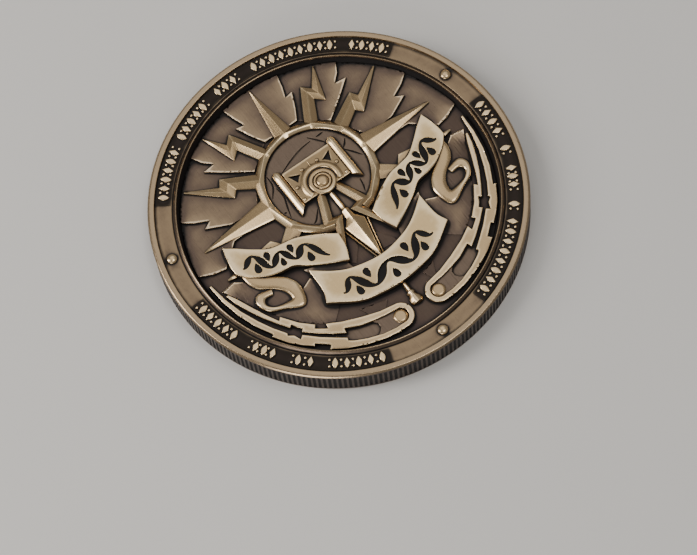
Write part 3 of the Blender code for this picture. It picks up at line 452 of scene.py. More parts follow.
# from the wheel outwards: the jagged edge where each plate ends, and the angle at which it meets the rim
plateEdges = {
    "north": ([(-0.104, 0.525), (-0.140, 0.590), (-0.182, 0.683), (-0.134, 0.673), (-0.157, 0.735)], 102.2),
    "upper": ([(-0.248, 0.416), (-0.362, 0.498), (-0.461, 0.576), (-0.392, 0.583), (-0.440, 0.628)], 124.5),
    "middle": ([(-0.360, 0.222), (-0.520, 0.239), (-0.644, 0.299), (-0.595, 0.325), (-0.670, 0.3625)], 150.8),
    "side": ([(-0.360, 0.155), (-0.560, 0.150), (-0.685, 0.045), (-0.7525, 0.0585)], 173.5),
}


def makeFieldPlates():
    # each outline is the plate's own edge, the edge it shares with the one before and an arc of the rim
    s = {"low": 0.06, "high": 0.34, "gap": 0.03, "step": 0.17, "rounding": 0.035}
    reach = ringSizes["field"] + 0.02
    base, low, high = fieldZ - 0.03, fieldZ + s["low"], fieldZ + s["high"]
    edges = {label: (np.vstack([scaled(points), polar(reach, end)]), end)
             for label, (points, end) in plateEdges.items()}

    def sides(shared, own):
        # the face rises from the shared edge to the plate's own, by its share of the distance
        def height(p):
            a, b = distanceTo(p, shared), distanceTo(p, own)
            return low + (high - low) * (a / np.maximum(a + b, 1e-6)) ** 0.8
        return height

    north, end = edges["north"]
    arc = polar(reach, np.linspace(end, 180 - end, 14)[1:-1])
    outline = np.vstack([north, arc, flipped(north)[::-1]])
    keep("field_plate_north", slab(outline, high, base, step=s["step"], rounding=s["rounding"]),
         "brushed", "field", "field_plate_north")
    labels = list(edges)
    for before, label in zip(labels, labels[1:]):
        shared, start = edges[before]
        own, end = edges[label]
        along = np.gradient(shared, axis=0)
        along /= np.linalg.norm(along, axis=1)[:, None]
        shared = shared + np.stack([-along[:, 1], along[:, 0]], 1) * s["gap"]
        arc = polar(reach, np.linspace(start, end, 12)[1:-1])
        outline = np.vstack([shared, arc, own[::-1]])
        plate = slab(outline, sides(shared, own), base, step=s["step"], rounding=s["rounding"])
        keepPair(f"field_plate_{label}", plate, "brushed", "field")
    top = [(-0.775, -0.05), (-0.700, -0.04), (-0.660, -0.07), (-0.620, -0.14), (-0.520, -0.22),
           (-0.460, -0.30), (-0.435, -0.29), (-0.372, -0.262), (-0.330, -0.30)]
    foot = [(-0.330, -0.47), (-0.360, -0.50), (-0.415, -0.545), (-0.470, -0.50), (-0.550, -0.43),
            (-0.620, -0.335), (-0.690, -0.22), (-0.735, -0.12)]
    face = sides(scaled(foot), scaled(top))
    plate = slab(scaled(top + foot), face, base, step=s["step"], rounding=s["rounding"])
    keepPair("field_plate_lower", plate, "brushed", "field")


wheelCentre = (0.0, 0.187)


def makeHub():
    # a round plate with cracks, each a curve whose width is 0.35 + the sine of the way along it
    s = {"radius": 0.279, "crackWidth": 0.0036, "crackDepth": 0.12}
    cracks = [
        [(-0.135, 0.322), (-0.06, 0.352), (0.02, 0.376), (0.090, 0.385)],
        [(0.128, 0.386), (0.152, 0.387), (0.174, 0.389)],
        [(0.088, 0.412), (0.125, 0.365), (0.158, 0.320)],
        [(-0.213, 0.352), (-0.219, 0.288), (-0.262, 0.228)],
        [(-0.212, 0.268), (-0.207, 0.205), (-0.228, 0.140), (-0.246, 0.080)],
        [(-0.262, 0.121), (-0.247, 0.120)],
        [(0.246, 0.288), (0.226, 0.262), (0.208, 0.247)],
        [(0.206, 0.236), (0.236, 0.195), (0.264, 0.152)],
        [(0.096, 0.045), (0.118, -0.002), (0.138, -0.035)],
        [(0.152, -0.028), (0.165, 0.008), (0.172, 0.048)],
        [(-0.105, 0.040), (-0.150, -0.010), (-0.172, -0.020)],
    ]
    holes = []
    for line in cracks:
        path = onCurve(scaled(line), 12)
        along = np.gradient(path, axis=0)
        along /= np.linalg.norm(along, axis=1)[:, None]
        width = s["crackWidth"] * unit * (0.35 + np.sin(np.linspace(0.1, np.pi - 0.1, 12)))
        offset = np.stack([-along[:, 1], along[:, 0]], 1) * width[:, None]
        holes.append(np.vstack([path + offset, (path - offset)[::-1]]))
    z = topOf("hub_plate")
    outline = polar(s["radius"] * unit, np.arange(0, 360, 2.5), scaled(wheelCentre))
    hub = slab(outline, z, fieldZ - 0.02, holes, z - s["crackDepth"], rounding=0.012,
               holeRounding=0.012, step=0.17)
    keep("hub_plate", hub, "ground", "ground", "hub_plate")


def makeSunWheel():
    # The crest and outer edge of the ring are a polygon: the radius times cos(half a corner) / cos(angle
    # from the flat's middle). The rays are ridged bars, drawn on the left and mirrored.
    s = {"hole": 0.281, "crest": 0.309, "outer": 0.338, "corners": 12, "opening": 36.0, "innerRise": 0.12,
         "edge": 0.42, "top": 0.74, "tip": 0.48, "sideTop": 0.55, "footEdge": 0.12, "footTop": 0.26}
    edge, top = fieldZ + s["edge"], fieldZ + s["top"]
    corner = 360 / s["corners"]
    turn = np.linspace(270 + s["opening"] / 2, 630 - s["opening"] / 2, 325)
    offFlat = (turn - 90) % corner - corner / 2
    base = fieldZ - 0.02
    facet = math.cos(math.radians(corner / 2)) / np.cos(np.radians(offFlat))
    crest, outer = s["crest"] * facet, s["outer"] * facet
    hole = np.full(len(turn), s["hole"])
    inner = edge + s["innerRise"]
    lines = [(hole, base), (hole, inner - 0.05), (hole + 0.0015, inner), (crest - 0.002, top - 0.006),
             (crest, top), (crest + 0.002, top - 0.02), (outer - 0.0015, edge), (outer, edge - 0.05), (outer, base)]
    rays = np.stack([np.cos(np.radians(turn)), np.sin(np.radians(turn))], 1)
    rings = [np.column_stack([scaled(wheelCentre) + rays * (r * unit)[:, None], np.full(len(turn), z)])
             for r, z in lines]
    wheel = loft(np.stack(rings, 1))
    rays = [
        ([((-0.055, 0.49), (0.055, 0.49)), ((-0.003, 0.820), (0.003, 0.820))], "edge", "top", "tip"),
        ([((-0.30, 0.120), (-0.30, 0.258)), ((-0.722, 0.1845), (-0.722, 0.1915))], "edge", "top", "tip"),
        ([((-0.178, 0.430), (-0.112, 0.463)), ((-0.250, 0.5725), (-0.233, 0.6775)),
          ((-0.297, 0.530), (-0.276, 0.6325)), ((-0.361, 0.734), (-0.354, 0.737))], "edge", "top", "tip"),
        ([((-0.276, 0.311), (-0.231, 0.382)), ((-0.385, 0.385), (-0.4225, 0.490)),
          ((-0.417, 0.350), (-0.449, 0.449)), ((-0.618, 0.535), (-0.612, 0.541))], "edge", "top", "tip"),
        ([((-0.231, -0.010), (-0.285, 0.063)), ((-0.405, -0.110), (-0.375, -0.011)),
          ((-0.450, -0.075), (-0.412, 0.035)), ((-0.714, -0.020), (-0.714, -0.012))], "edge", "sideTop", "tip"),
        ([((-0.125, -0.110), (-0.193, -0.075)), ((-0.292, -0.450), (-0.325, -0.435))],
         "footEdge", "footTop", "footTop"),
    ]
    for stations, low, high, tip in rays:
        crests = fieldZ + np.linspace(s[high], s[tip], len(stations)) - 0.01
        ray = bar(stations, base, fieldZ + s[low] - 0.02, crests, count=14 if len(stations) > 2 else 30)
        wheel.join(ray)
        if stations[0][0][0] != -stations[0][1][0]:
            wheel.join(ray.mirrored())
    keep("sun_wheel", wheel, "relief", "relief", "sun_wheel")


bossCentre = (0.0, 0.142)


def makeBlock():
    # a slab with two notches, six beads and an index mark, between two rounded bars
    s = {"half": 0.147, "bottom": 0.094, "top": 0.305, "notchDepth": 0.34, "bead": 0.0115, "beadRise": 0.18}
    z = topOf("centre_block")
    half, bottom, top = s["half"], s["bottom"], s["top"]
    outline = scaled([(-half, bottom), (half, bottom), (half, top), (-half, top)])
    notch = [(-0.131, 0.272), (-0.106, 0.212), (-0.098, 0.222), (-0.082, 0.238), (-0.070, 0.244)]
    notches = [scaled(notch), flipped(scaled(notch))]
    block = slab(outline, z, fieldZ, notches, z - s["notchDepth"], rounding=0.05)
    for x, y in ((0.048, 0.260), (0.127, 0.190), (0.134, 0.110)):
        for place in ((x, y), (-x, y)):
            block.join(dome(scaled(place), s["bead"] * unit, z - 0.05, z + s["beadRise"], 16, 5))
    mark = [((-0.004, 0.252), (0.004, 0.252)), ((-0.003, 0.280), (0.003, 0.280))]
    block.join(bar(mark, z - 0.05, z + 0.06, z + 0.13, power=2))
    keep("centre_block", block, "block", "relief", "centre_block")
    z = topOf("block_bar_left")
    stations = [((-0.196, 0.046), (-0.150, 0.088)), ((-0.196, 0.322), (-0.150, 0.322)),
                ((-0.186, 0.332), (-0.160, 0.332))]
    rod = bar(stations, fieldZ, z - 0.30, [z, z, z - 0.10], count=8, power=2)
    keepPair("block_bar", rod, "relief", "relief")


def makeBossAndCollar():
    # the collar's profile is carried through part of a turn, and the boss's right round
    s = {"radius": 0.074, "gap": 0.0075, "collar": 0.116, "span": (-24.0, 204.0), "softening": 0.03}
    blockZ, collarZ, bossZ = topOf("centre_block"), topOf("boss_collar"), topOf("boss")
    turn = np.linspace(*s["span"], 120)
    inner, outer = (s["radius"] + s["gap"]) * unit, s["collar"] * unit
    lines = [(inner, blockZ - 0.3), (inner, collarZ - 0.12),
             (inner + 0.06, collarZ - 0.04), (inner + 0.14, collarZ), (outer - 0.36, collarZ),
             (outer - 0.16, collarZ - 0.06), (outer, collarZ - 0.20), (outer, blockZ - 0.3)]
    rings = [np.column_stack([polar(r, turn, scaled(bossCentre)), np.full(len(turn), z)]) for r, z in lines]
    keep("boss_collar", loft(np.stack(rings, 1)), "relief", "relief", "boss_collar")
    shape = [(0.074, None), (0.074, -0.27), (0.0725, -0.20), (0.068, -0.15), (0.058, -0.13), (0.053, -0.14),
             (0.051, -0.27), (0.049, -0.27), (0.0465, -0.12), (0.044, -0.08), (0.037, -0.08), (0.0345, -0.20),
             (0.0325, -0.20), (0.030, -0.10), (0.023, -0.03), (0.013, 0.0), (0.003, 0.0)]
    profile = [(r * unit, fieldZ if dz is None else bossZ + dz) for r, dz in shape]
    keep("boss", lathe(softened(profile, s["softening"]), 72, scaled(bossCentre)), "relief", "relief", "boss")


def makeDartsAndPointer():
    # ridged bars; the pointer widens to a spearhead, with a thin rail beside each of its edges
    s = {"edge": 0.50, "railEdge": 0.38, "railTop": 0.44}
    edge, top = fieldZ + s["edge"], topOf("dart_left")
    stations = [((-0.072, 0.095), (-0.022, 0.095)), ((-0.147, -0.080), (-0.078, -0.055)),
                ((-0.092, -0.096), (-0.026, -0.070)), ((-0.164, -0.276), (-0.150, -0.296))]
    keepPair("dart", bar(stations, fieldZ - 0.02, edge, top, count=16), "relief", "relief")
    tip = topOf("pointer")
    shaft = [((-0.011, 0.095), (0.011, 0.095)), ((-0.013, -0.050), (0.013, -0.050)),
             ((-0.020, -0.058), (0.020, -0.058)), ((-0.024, -0.105), (0.024, -0.105)),
             ((-0.058, -0.148), (0.058, -0.148)), ((-0.057, -0.165), (0.057, -0.165)),
             ((-0.006, -0.380), (0.006, -0.380))]
    edges = fieldZ + np.array([0.5, 0.5, 0.52, 0.5, 0.45, 0.45, 0.45])
    crests = [tip - 0.28, tip - 0.12, tip - 0.06, tip - 0.05, tip, tip, fieldZ + 0.62]
    pointer = bar(shaft, fieldZ - 0.02, edges, crests, count=8)
    for side in (-1, 1):
        rail = [((0.071 * side - 0.003, -0.160), (0.071 * side + 0.003, -0.160)),
                ((0.017 * side - 0.003, -0.385), (0.017 * side + 0.003, -0.385))]
        pointer.join(bar(rail, fieldZ - 0.02, fieldZ + s["railEdge"], fieldZ + s["railTop"], count=16))
    keep("pointer", pointer, "relief", "relief", "pointer")


def makeFinial():
    # a rounded bar whose half widths, down its length, are those of a turned knob
    z = topOf("finial")
    outline = [(0.015, -0.575), (0.015, -0.612), (0.015, -0.628), (0.024, -0.636), (0.024, -0.645),
               (0.020, -0.653), (0.033, -0.674), (0.037, -0.692), (0.031, -0.706), (0.010, -0.713)]
    stations = [((-w, y), (w, y)) for w, y in outline]
    crests = [z - 0.05] * 3 + [z] * 3 + [z + 0.02] * 3 + [z - 0.2]
    body = bar(stations, fieldZ - 0.02, fieldZ + 0.15, crests, count=6, power=2)
    keep("finial", body, "relief", "relief", "finial")


def makeTailsAndFolds():
    # bars between an inner and an outer curve: the tail's back is flattened, the fold's is rounded
    inner = [(-0.650, 0.000), (-0.645, -0.10), (-0.615, -0.155), (-0.560, -0.195), (-0.520, -0.24),
             (-0.507, -0.295), (-0.53, -0.303), (-0.60, -0.29), (-0.632, -0.262), (-0.634, -0.237),
             (-0.615, -0.220), (-0.575, -0.224)]
    outer = [(-0.595, -0.03), (-0.575, -0.10), (-0.500, -0.155), (-0.455, -0.20), (-0.433, -0.26),
             (-0.450, -0.345), (-0.49, -0.370), (-0.57, -0.327), (-0.645, -0.29), (-0.674, -0.225),
             (-0.645, -0.178), (-0.565, -0.190)]
    z = topOf("ribbon_tail_left")
    edges = fieldZ + np.array([0.52, 0.52, 0.52, 0.52, 0.5, 0.42, 0.42, 0.45, 0.5, 0.54, 0.5, 0.4])
    crests = z + np.array([0, 0, 0, 0, 0.02, -0.04, -0.05, -0.04, 0, 0.02, 0, -0.12])
    tail = bar(list(zip(inner, outer)), fieldZ - 0.02, edges, crests, count=9, curved=True, power=4, lip=0.06)
    keepPair("ribbon_tail", tail, "relief", "relief")
    fold = [((-0.368, -0.205), (-0.345, -0.255)), ((-0.260, -0.245), (-0.235, -0.325)),
            ((-0.165, -0.295), (-0.150, -0.362))]
    z = topOf("ribbon_fold_left")
    keepPair("ribbon_fold", bar(fold, fieldZ - 0.02, z - 0.03, z - 0.12, count=12, curved=True, power=2),
             "ground", "ground")


ribbonEdges = {
    "side": ([(-0.640, 0.143), (-0.580, 0.100), (-0.5125, 0.042), (-0.445, -0.008), (-0.3775, -0.024),
              (-0.3025, -0.036), (-0.2125, -0.082), (-0.108, -0.155)],
             [(-0.668, -0.025), (-0.622, -0.075), (-0.545, -0.125), (-0.475, -0.151), (-0.400, -0.164),
              (-0.330, -0.212), (-0.235, -0.268), (-0.150, -0.312)]),
    "lower": ([(-0.355, -0.232), (-0.25, -0.310), (-0.1525, -0.355), (0.0, -0.385)],
              [(-0.387, -0.4375), (-0.25, -0.524), (-0.1525, -0.556), (0.0, -0.5745)]),
}


def makeRibbons():
    # a slab between two curves, with pockets in its face that the enamel fills
    s = {"rows": 61, "rounding": 0.075, "step": 0.15, "sag": 0.22, "enamelDepth": 0.17, "enamelSunk": 0.05}
    for label, (tops, bottoms) in ribbonEdges.items():
        if label == "lower":
            tops, bottoms = ([*line, *[(-x, y) for x, y in line[-2::-1]]] for line in (tops, bottoms))
        a, b = onCurve(scaled(tops), s["rows"]), onCurve(scaled(bottoms), s["rows"])
        node = "ribbon_lower" if label == "lower" else "ribbon_left"
        z = topOf(node)
        if label == "lower":
            left = onCurve([a[0], a[0] * 0.35 + b[0] * 0.65 + (0.35, 0), b[0]], 8)
            right = flipped(left)
        else:
            bulge = [a[0] * 0.7 + b[0] * 0.3 + (-0.12, 0.02), a[0] * 0.3 + b[0] * 0.7 + (-0.16, 0)]
            left = onCurve([a[0], *bulge, b[0]], 9)
            right = onCurve([a[-1], a[-1] * 0.5 + b[-1] * 0.5 + (0.25, 0), b[-1]], 8)
        outline = np.vstack([a, right[1:-1], b[::-1], left[1:-1][::-1]])

        def face(p, spread=outline[:, 0].max() - outline[:, 0].min(), middle=outline[:, 0].mean(), z=z):
            # a long shallow wave: highest at the ends and in the middle
            return z - s["sag"] * (1 - np.cos((p[:, 0] - middle) / spread * 4 * np.pi)) / 2

        fills = ornament(a, b, 3)
        ribbon = slab(outline, face, fieldZ - 0.02, fills, z - s["sag"] - s["enamelDepth"],
                      rounding=s["rounding"], step=s["step"], wallRows=3)
        enamel = Body()
        high, low = z - s["sag"] - s["enamelSunk"], z - s["sag"] - s["enamelDepth"] + 0.005
        for fill in fills:
            wider = inset(fill if areaOf(fill) > 0 else fill[::-1], -0.02)
            enamel.join(slab(wider, high, low, rounding=0.02, filled=False, wallRows=1))
        if label == "lower":
            keep("ribbon_lower", ribbon, "polished", "relief", "ribbon_lower")
            keep("enamel_lower", enamel, "enamel", "enamel", "enamel_lower")
        else:
            keepPair("ribbon", ribbon, "polished", "relief")
            keepPair("enamel", enamel, "enamel", "enamel")


def ornament(a, b, waves):
    # the ribbon's black figure: a stem that swings as a cosine wave between its edges, thick on
    # its slopes and thin at its turns, with a drop in every hollow
    count = waves * 20 + 1
    place = np.linspace(0.12, 0.88, count) * (len(a) - 1)
    k = np.minimum(place.astype(int), len(a) - 2)
    t = (place - k)[:, None]
    top, bottom = a[k] * (1 - t) + a[k + 1] * t, b[k] * (1 - t) + b[k + 1] * t
    middle, half = (top + bottom) / 2, (top - bottom) / 2
    phase = np.linspace(-np.pi * waves, np.pi * waves, count)
    path = middle + half * (0.46 * np.cos(phase))[:, None]
    along = np.gradient(path, axis=0)
    along /= np.linalg.norm(along, axis=1)[:, None]
    width = (0.13 + 0.26 * np.sin(phase) ** 2) * np.sin(np.linspace(0.12, np.pi - 0.12, count)) ** 0.35
    width = width * np.minimum(np.linalg.norm(half, axis=1) / 1.5, 1.35)
    offset = np.stack([-along[:, 1], along[:, 0]], 1) * width[:, None]
    fills = [np.vstack([path + offset, (path - offset)[::-1]])]
    turn = np.linspace(0, 2 * np.pi, 15)[:-1]
    for i in range(5, count - 5):
        if abs(abs(math.cos(phase[i])) - 1) < 1e-6:
            reach = np.linalg.norm(half[i])
            up = -half[i] / reach * math.copysign(1, math.cos(phase[i]))
            size = min(reach, 1.9)
            x, y = 0.30 * size * np.sin(turn) * np.sin(turn / 2), 0.36 * size * np.cos(turn)
            fills.append(middle[i] + up * reach * 0.38 + np.outer(-y, up) + np.outer(x, (-up[1], up[0])))
    return fills


def makeCrescents():
    # one outline goes round both prongs, their slots and the round end that joins them
    s = {"end": (-0.121, -0.7165), "outer": 0.0715, "inner": 0.0435, "rounding": 0.075}
    endAngle = 260.4
    outside = [(-0.8150, 0.010), (-0.8085, -0.10), (-0.787, -0.21), (-0.752, -0.315), (-0.702, -0.409),
               (-0.716, -0.4135), (-0.665, -0.497), (-0.612, -0.553), (-0.569, -0.590), (-0.562, -0.577),
               (-0.499, -0.632), (-0.517, -0.651), (-0.450, -0.697), (-0.350, -0.745), (-0.250, -0.776), (-0.180, -0.7865)]
    fieldSide = [(-0.190, -0.633), (-0.280, -0.603), (-0.380, -0.562), (-0.452, -0.521), (-0.459, -0.550),
                 (-0.513, -0.510), (-0.498, -0.493), (-0.560, -0.432), (-0.620, -0.346), (-0.635, -0.364),
                 (-0.668, -0.300), (-0.705, -0.215), (-0.740, -0.13), (-0.7620, -0.086)]
    innerSlot = [(-0.7745, -0.086), (-0.760, -0.150), (-0.730, -0.225), (-0.694, -0.300), (-0.650, -0.374),
                 (-0.612, -0.430), (-0.598, -0.418), (-0.583, -0.448), (-0.563, -0.470), (-0.578, -0.484),
                 (-0.520, -0.538), (-0.455, -0.590), (-0.398, -0.628), (-0.392, -0.600), (-0.320, -0.636), (-0.250, -0.655),
                 (-0.185, -0.668)]
    outerSlot = [(-0.180, -0.7575), (-0.250, -0.745), (-0.330, -0.716), (-0.392, -0.684), (-0.414, -0.667),
                 (-0.408, -0.652), (-0.450, -0.620), (-0.520, -0.563), (-0.586, -0.498), (-0.605, -0.514),
                 (-0.619, -0.477), (-0.646, -0.458), (-0.640, -0.446), (-0.683, -0.378), (-0.722, -0.300), (-0.762, -0.200),
                 (-0.788, -0.10), (-0.8030, 0.010)]
    around = polar(s["outer"], endAngle + np.linspace(0, 180, 17)[1:-1], s["end"])
    within = polar(s["inner"], endAngle + np.linspace(180, 0, 13)[1:-1], s["end"])
    outline = np.vstack([outside, around, fieldSide, innerSlot, within, outerSlot])
    z = topOf("crescent_left")
    prong = slab(scaled(outline), z, fieldZ - 0.02, rounding=s["rounding"], step=0.17, wallRows=3)
    keepPair("crescent", prong, "relief", "relief")
    pad = dome(scaled(s["end"]), (s["inner"] - 0.0035) * unit, fieldZ - 0.02, topOf("crescent_pad_left"),
               48, 9, flat=0.55)
    keepPair("crescent_pad", pad, "relief", "relief")
    floor = fieldZ + 0.05
    slot = [(-0.400, -0.610), (-0.320, -0.632), (-0.250, -0.650), (-0.12, -0.668), (-0.12, -0.765),
            (-0.250, -0.752), (-0.330, -0.722), (-0.400, -0.688), (-0.47, -0.62)]
    step = [(-0.254, -0.655), (-0.236, -0.676), (-0.236, -0.702), (-0.252, -0.722), (-0.283, -0.738),
            (-0.12, -0.765), (-0.12, -0.668)]
    body = slab(scaled(slot), floor, fieldZ - 0.02, rounding=0.03)
    body.join(slab(scaled(step), topOf("crescent_floor_left") + 0.08, fieldZ - 0.02, rounding=0.04))
    keepPair("crescent_floor", body, "ground", "ground")


def makeReverse():
    # a ring turned from its profile, and a star whose outline shrinks evenly as it rises to a point
    s = {"outer": 0.86, "width": 0.9, "starPoints": 8, "valley": 0.34, "starReach": 0.9}
    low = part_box("reverse_ring")[0].z / mm
    outer = ringSizes["field"] * s["outer"]
    inner = outer - s["width"]
    profile = [(inner, underZ + 0.02), (inner, low + 0.08), (inner + 0.03, low + 0.02), (inner + 0.10, low),
               (inner + 0.45, low), (outer - 0.10, low), (outer - 0.03, low + 0.02),
               (outer, low + 0.08), (outer, underZ + 0.02)]
    ring = lathe(spaced(np.array(profile), 0.2), 240, ringed=True)
    keep("reverse_ring", ring, "relief", "relief", "reverse_ring")
    count = s["starPoints"] * 2
    reach = inner * s["starReach"]
    radius = np.where(np.arange(count + 1) % 2 == 0, 1.0, s["valley"]) * reach
    star = onLegs(polar(1.0, 90 + 360 / count * np.arange(count + 1)) * radius[:, None], 14)[:-1]
    rows = [(1.0, underZ + 0.02), (1.0, underZ - 0.07), (0.99, underZ - 0.10)]
    rows += [(1 - 0.98 * t, underZ - 0.10 + (low - underZ + 0.10) * t) for t in np.linspace(0.03, 1, 26)]
    rings = [np.column_stack([star * scale, np.full(len(star), z)]) for scale, z in rows]
    keep("reverse_star", loft(rings), "relief", "relief", "reverse_star")


ringSizes = makeRimRing()
print("rim ring turned and reeded")
makeCore()
makeStuds()
makeLegendStrips()
print("core, studs and legend strips placed")
makeFieldPlates()
makeHub()
makeSunWheel()
print("field plates, hub and sun wheel cut")
makeBlock()
makeBossAndCollar()
makeDartsAndPointer()
makeFinial()
print("centre emblem assembled")
makeTailsAndFolds()
makeRibbons()
makeCrescents()
makeReverse()
print("ribbons, crescents and reverse done")


# Relief shading: how far each point stands above or below what is round it.
def heightMap(side, cells=1000, density=4):
    # random points on every face that looks this way; each cell of a square keeps the highest
    reach = coinRadius + 1.0
    cell = 2 * reach / cells
    heights = np.full(cells * cells, -9.0)
    rng = np.random.default_rng(11)
    for piece in made:
        points, tris = piece["body"].points, piece["body"].triangles()
        a, b, c = (points[tris[:, k]] for k in range(3))
        span = np.cross(b - a, c - a)[:, 2] * side / 2
        facing = span > 1e-7
        a, b, c, span = a[facing], b[facing], c[facing], span[facing]
        which = np.repeat(np.arange(len(a)), np.ceil(span / cell**2 * density).astype(int))
        p, q = rng.random((2, len(which)))
        over = p + q > 1
        p[over], q[over] = 1 - p[over], 1 - q[over]
        spot = a[which] + (b - a)[which] * p[:, None] + (c - a)[which] * q[:, None]
        place = ((spot[:, :2] + reach) / cell).astype(int)
        np.maximum.at(heights, place[:, 1] * cells + place[:, 0], spot[:, 2] * side)
    heights = heights.reshape(cells, cells)
    lowest = 0.0 if side > 0 else -topOf("rim_ring")
    for _ in range(3):
        wider = np.max([np.roll(heights, (i, j), (0, 1)) for i in (-1, 0, 1) for j in (-1, 0, 1)], 0)
        heights = np.where(heights < -8, wider, heights)
    return np.maximum(heights, lowest), reach, cell


def blurred(heights, cell, radius):
    # a Gaussian of the given radius in millimetres, worked on the spectrum
    turns = np.fft.fftfreq(len(heights), cell), np.fft.rfftfreq(len(heights), cell)
    gain = np.exp(-2 * (np.pi * radius) ** 2 * (turns[0][:, None] ** 2 + turns[1][None, :] ** 2))
    return np.fft.irfft2(np.fft.rfft2(heights) * gain, heights.shape)


def sampled(grid, xy, reach, cell):
    # bilinear reading of a grid
    place = np.clip((xy + reach) / cell - 0.5, 0, len(grid) - 1.001)
    k = place.astype(int)
    t = place - k
    x, y = k[:, 0], k[:, 1]
    low = grid[y, x] * (1 - t[:, 0]) + grid[y, x + 1] * t[:, 0]
    high = grid[y + 1, x] * (1 - t[:, 0]) + grid[y + 1, x + 1] * t[:, 0]
    return low * (1 - t[:, 1]) + high * t[:, 1]


def shadeRelief():
    # near and wide: a point's height less the relief's, blurred over a small and a large radius. The reeded wall and
    # the bead are too steep for that, so their near comes from their radius and height, and their wide is a fixed low
    # number that puts painted shade on them.
    s = {"near": 0.16, "wide": 0.75}
    for side in (1, -1):
        heights, reach, cell = heightMap(side)
        maps = {name: blurred(heights, cell, radius) for name, radius in s.items()}
        for piece in made:
            p = piece["body"].points
            mine = (p[:, 2] > underZ + 0.05) if side > 0 else (p[:, 2] <= underZ + 0.05)
            for name, grid in maps.items():
                values = piece.setdefault(name, np.zeros(len(p)))
                values[mine] = (p[mine, 2] * side) - sampled(grid, p[mine, :2], reach, cell)
    ring = next(piece for piece in made if piece["name"] == "rim_ring")
    p = ring["body"].points
    radius = np.linalg.norm(p[:, :2], axis=1)
    wall = (radius > coinRadius - 0.2) & (p[:, 2] < topOf("rim_ring") - 0.15) & (p[:, 2] > 0.12)
    ring["near"][wall] = (radius[wall] - coinRadius + 0.02) * 1.3
    # painted shade: the fixed low wide darkens the whole reeded wall with the grey-purple shade tone
    ring["wide"][wall] = -0.18
    # the bead's top edge is set bright and its inner slope dark; the slope's darkening and its fixed low wide are
    # painted shade
    bead = (radius < ringSizes["beadOut"] + 0.03) & (p[:, 2] > fieldZ - 0.1)
    ring["near"][bead] = (p[bead, 2] - topOf("rim_ring") + 0.26) * 0.9
    ring["wide"][bead] = -0.10


shadeRelief()
print("relief shading worked out")


class Wire:
    # one socket of a material's nodes, which can be used in sums
    def __init__(self, tree, socket):
        self.tree, self.socket = tree, socket

    def maths(self, operation, *others, clamp=False):
        return self.tree.node("ShaderNodeMath", {"operation": operation, "use_clamp": clamp},
                              dict(enumerate([self, *others])))

    def __add__(self, other): return self.maths("ADD", other)
    def __radd__(self, other): return self.maths("ADD", other)
    def __sub__(self, other): return self.maths("SUBTRACT", other)
    def __rsub__(self, other): return self.tree.number(other).maths("SUBTRACT", self)
    def __mul__(self, other): return self.maths("MULTIPLY", other)
    def __rmul__(self, other): return self.maths("MULTIPLY", other)

    def clamped(self): return self.maths("ADD", 0.0, clamp=True)

    def between(self, low, high):
        # 0 at low, 1 at high, eased at both ends
        return self.tree.node("ShaderNodeMapRange", {"interpolation_type": "SMOOTHSTEP"},
                              {"Value": self, "From Min": low, "From Max": high})


class Finish:
    # a material that is being built
    def __init__(self, name):
        self.material = bpy.data.materials.new(name)
        self.material.use_nodes = True
        self.nodes, self.links = self.material.node_tree.nodes, self.material.node_tree.links
        self.shader = self.nodes["Principled BSDF"]
        coordinates = self.nodes.new("ShaderNodeTexCoord")
        self.place = Wire(self, coordinates.outputs["Object"])

    def put(self, socket, value):
        if isinstance(value, Wire):
            self.links.new(value.socket, socket)
        else:
            socket.default_value = value

    def node(self, kind, settings, inputs, output=0):
        added = self.nodes.new(kind)
        for key, value in settings.items():
            setattr(added, key, value)
        for key, value in inputs.items():
            self.put(added.inputs[key], value)
        return Wire(self, added.outputs[output])

    def number(self, value):
        return self.node("ShaderNodeMath", {"operation": "ADD"}, {0: value, 1: 0.0})

    def attribute(self, name):
        return self.node("ShaderNodeAttribute", {"attribute_name": name}, {}, "Fac")

    def noise(self, scale, detail=2.0, rough=0.5, stretch=(1, 1, 1), turn=0.0):
        place = self.node("ShaderNodeMapping", {},
                          {"Vector": self.place, "Rotation": (0, 0, turn), "Scale": stretch})
        return self.node("ShaderNodeTexNoise", {},
                         {"Vector": place, "Scale": scale, "Detail": detail, "Roughness": rough}, "Fac")

    def mix(self, share, a, b):
        # colours mixed by a share
        mixer = self.nodes.new("ShaderNodeMix")
        mixer.data_type = "RGBA"
        self.put(mixer.inputs["Factor"], share)
        for key, value in (("A", a), ("B", b)):
            socket = next(i for i in mixer.inputs if i.name == key and i.type == "RGBA")
            self.put(socket, value)
        return Wire(self, next(o for o in mixer.outputs if o.type == "RGBA"))

    def bump(self, height, distance, normal=None):
        inputs = {"Height": height, "Distance": distance, "Strength": 1.0}
        if normal is not None:
            inputs["Normal"] = normal
        return self.node("ShaderNodeBump", {}, inputs, "Normal")

    def finish(self, **sockets):
        for key, value in sockets.items():
            self.put(self.shader.inputs[key.replace("_", " ")], value)
        return self.material


def tone(red, green, blue):
    return (red, green, blue, 1.0)


# the tones that every antique bronze here shares, the painted shade tone among them, and how it answers to the relief
patinaAndShadeTones = {"deep": tone(0.010, 0.008, 0.008), "paintedShade": tone(0.085, 0.062, 0.058), "darker": 0.62,
          "wideShare": 0.35, "paintedShadeShare": 0.8, "wearShare": 0.9, "lineDepth": 0.000018, "grainDepth": 0.0000016}


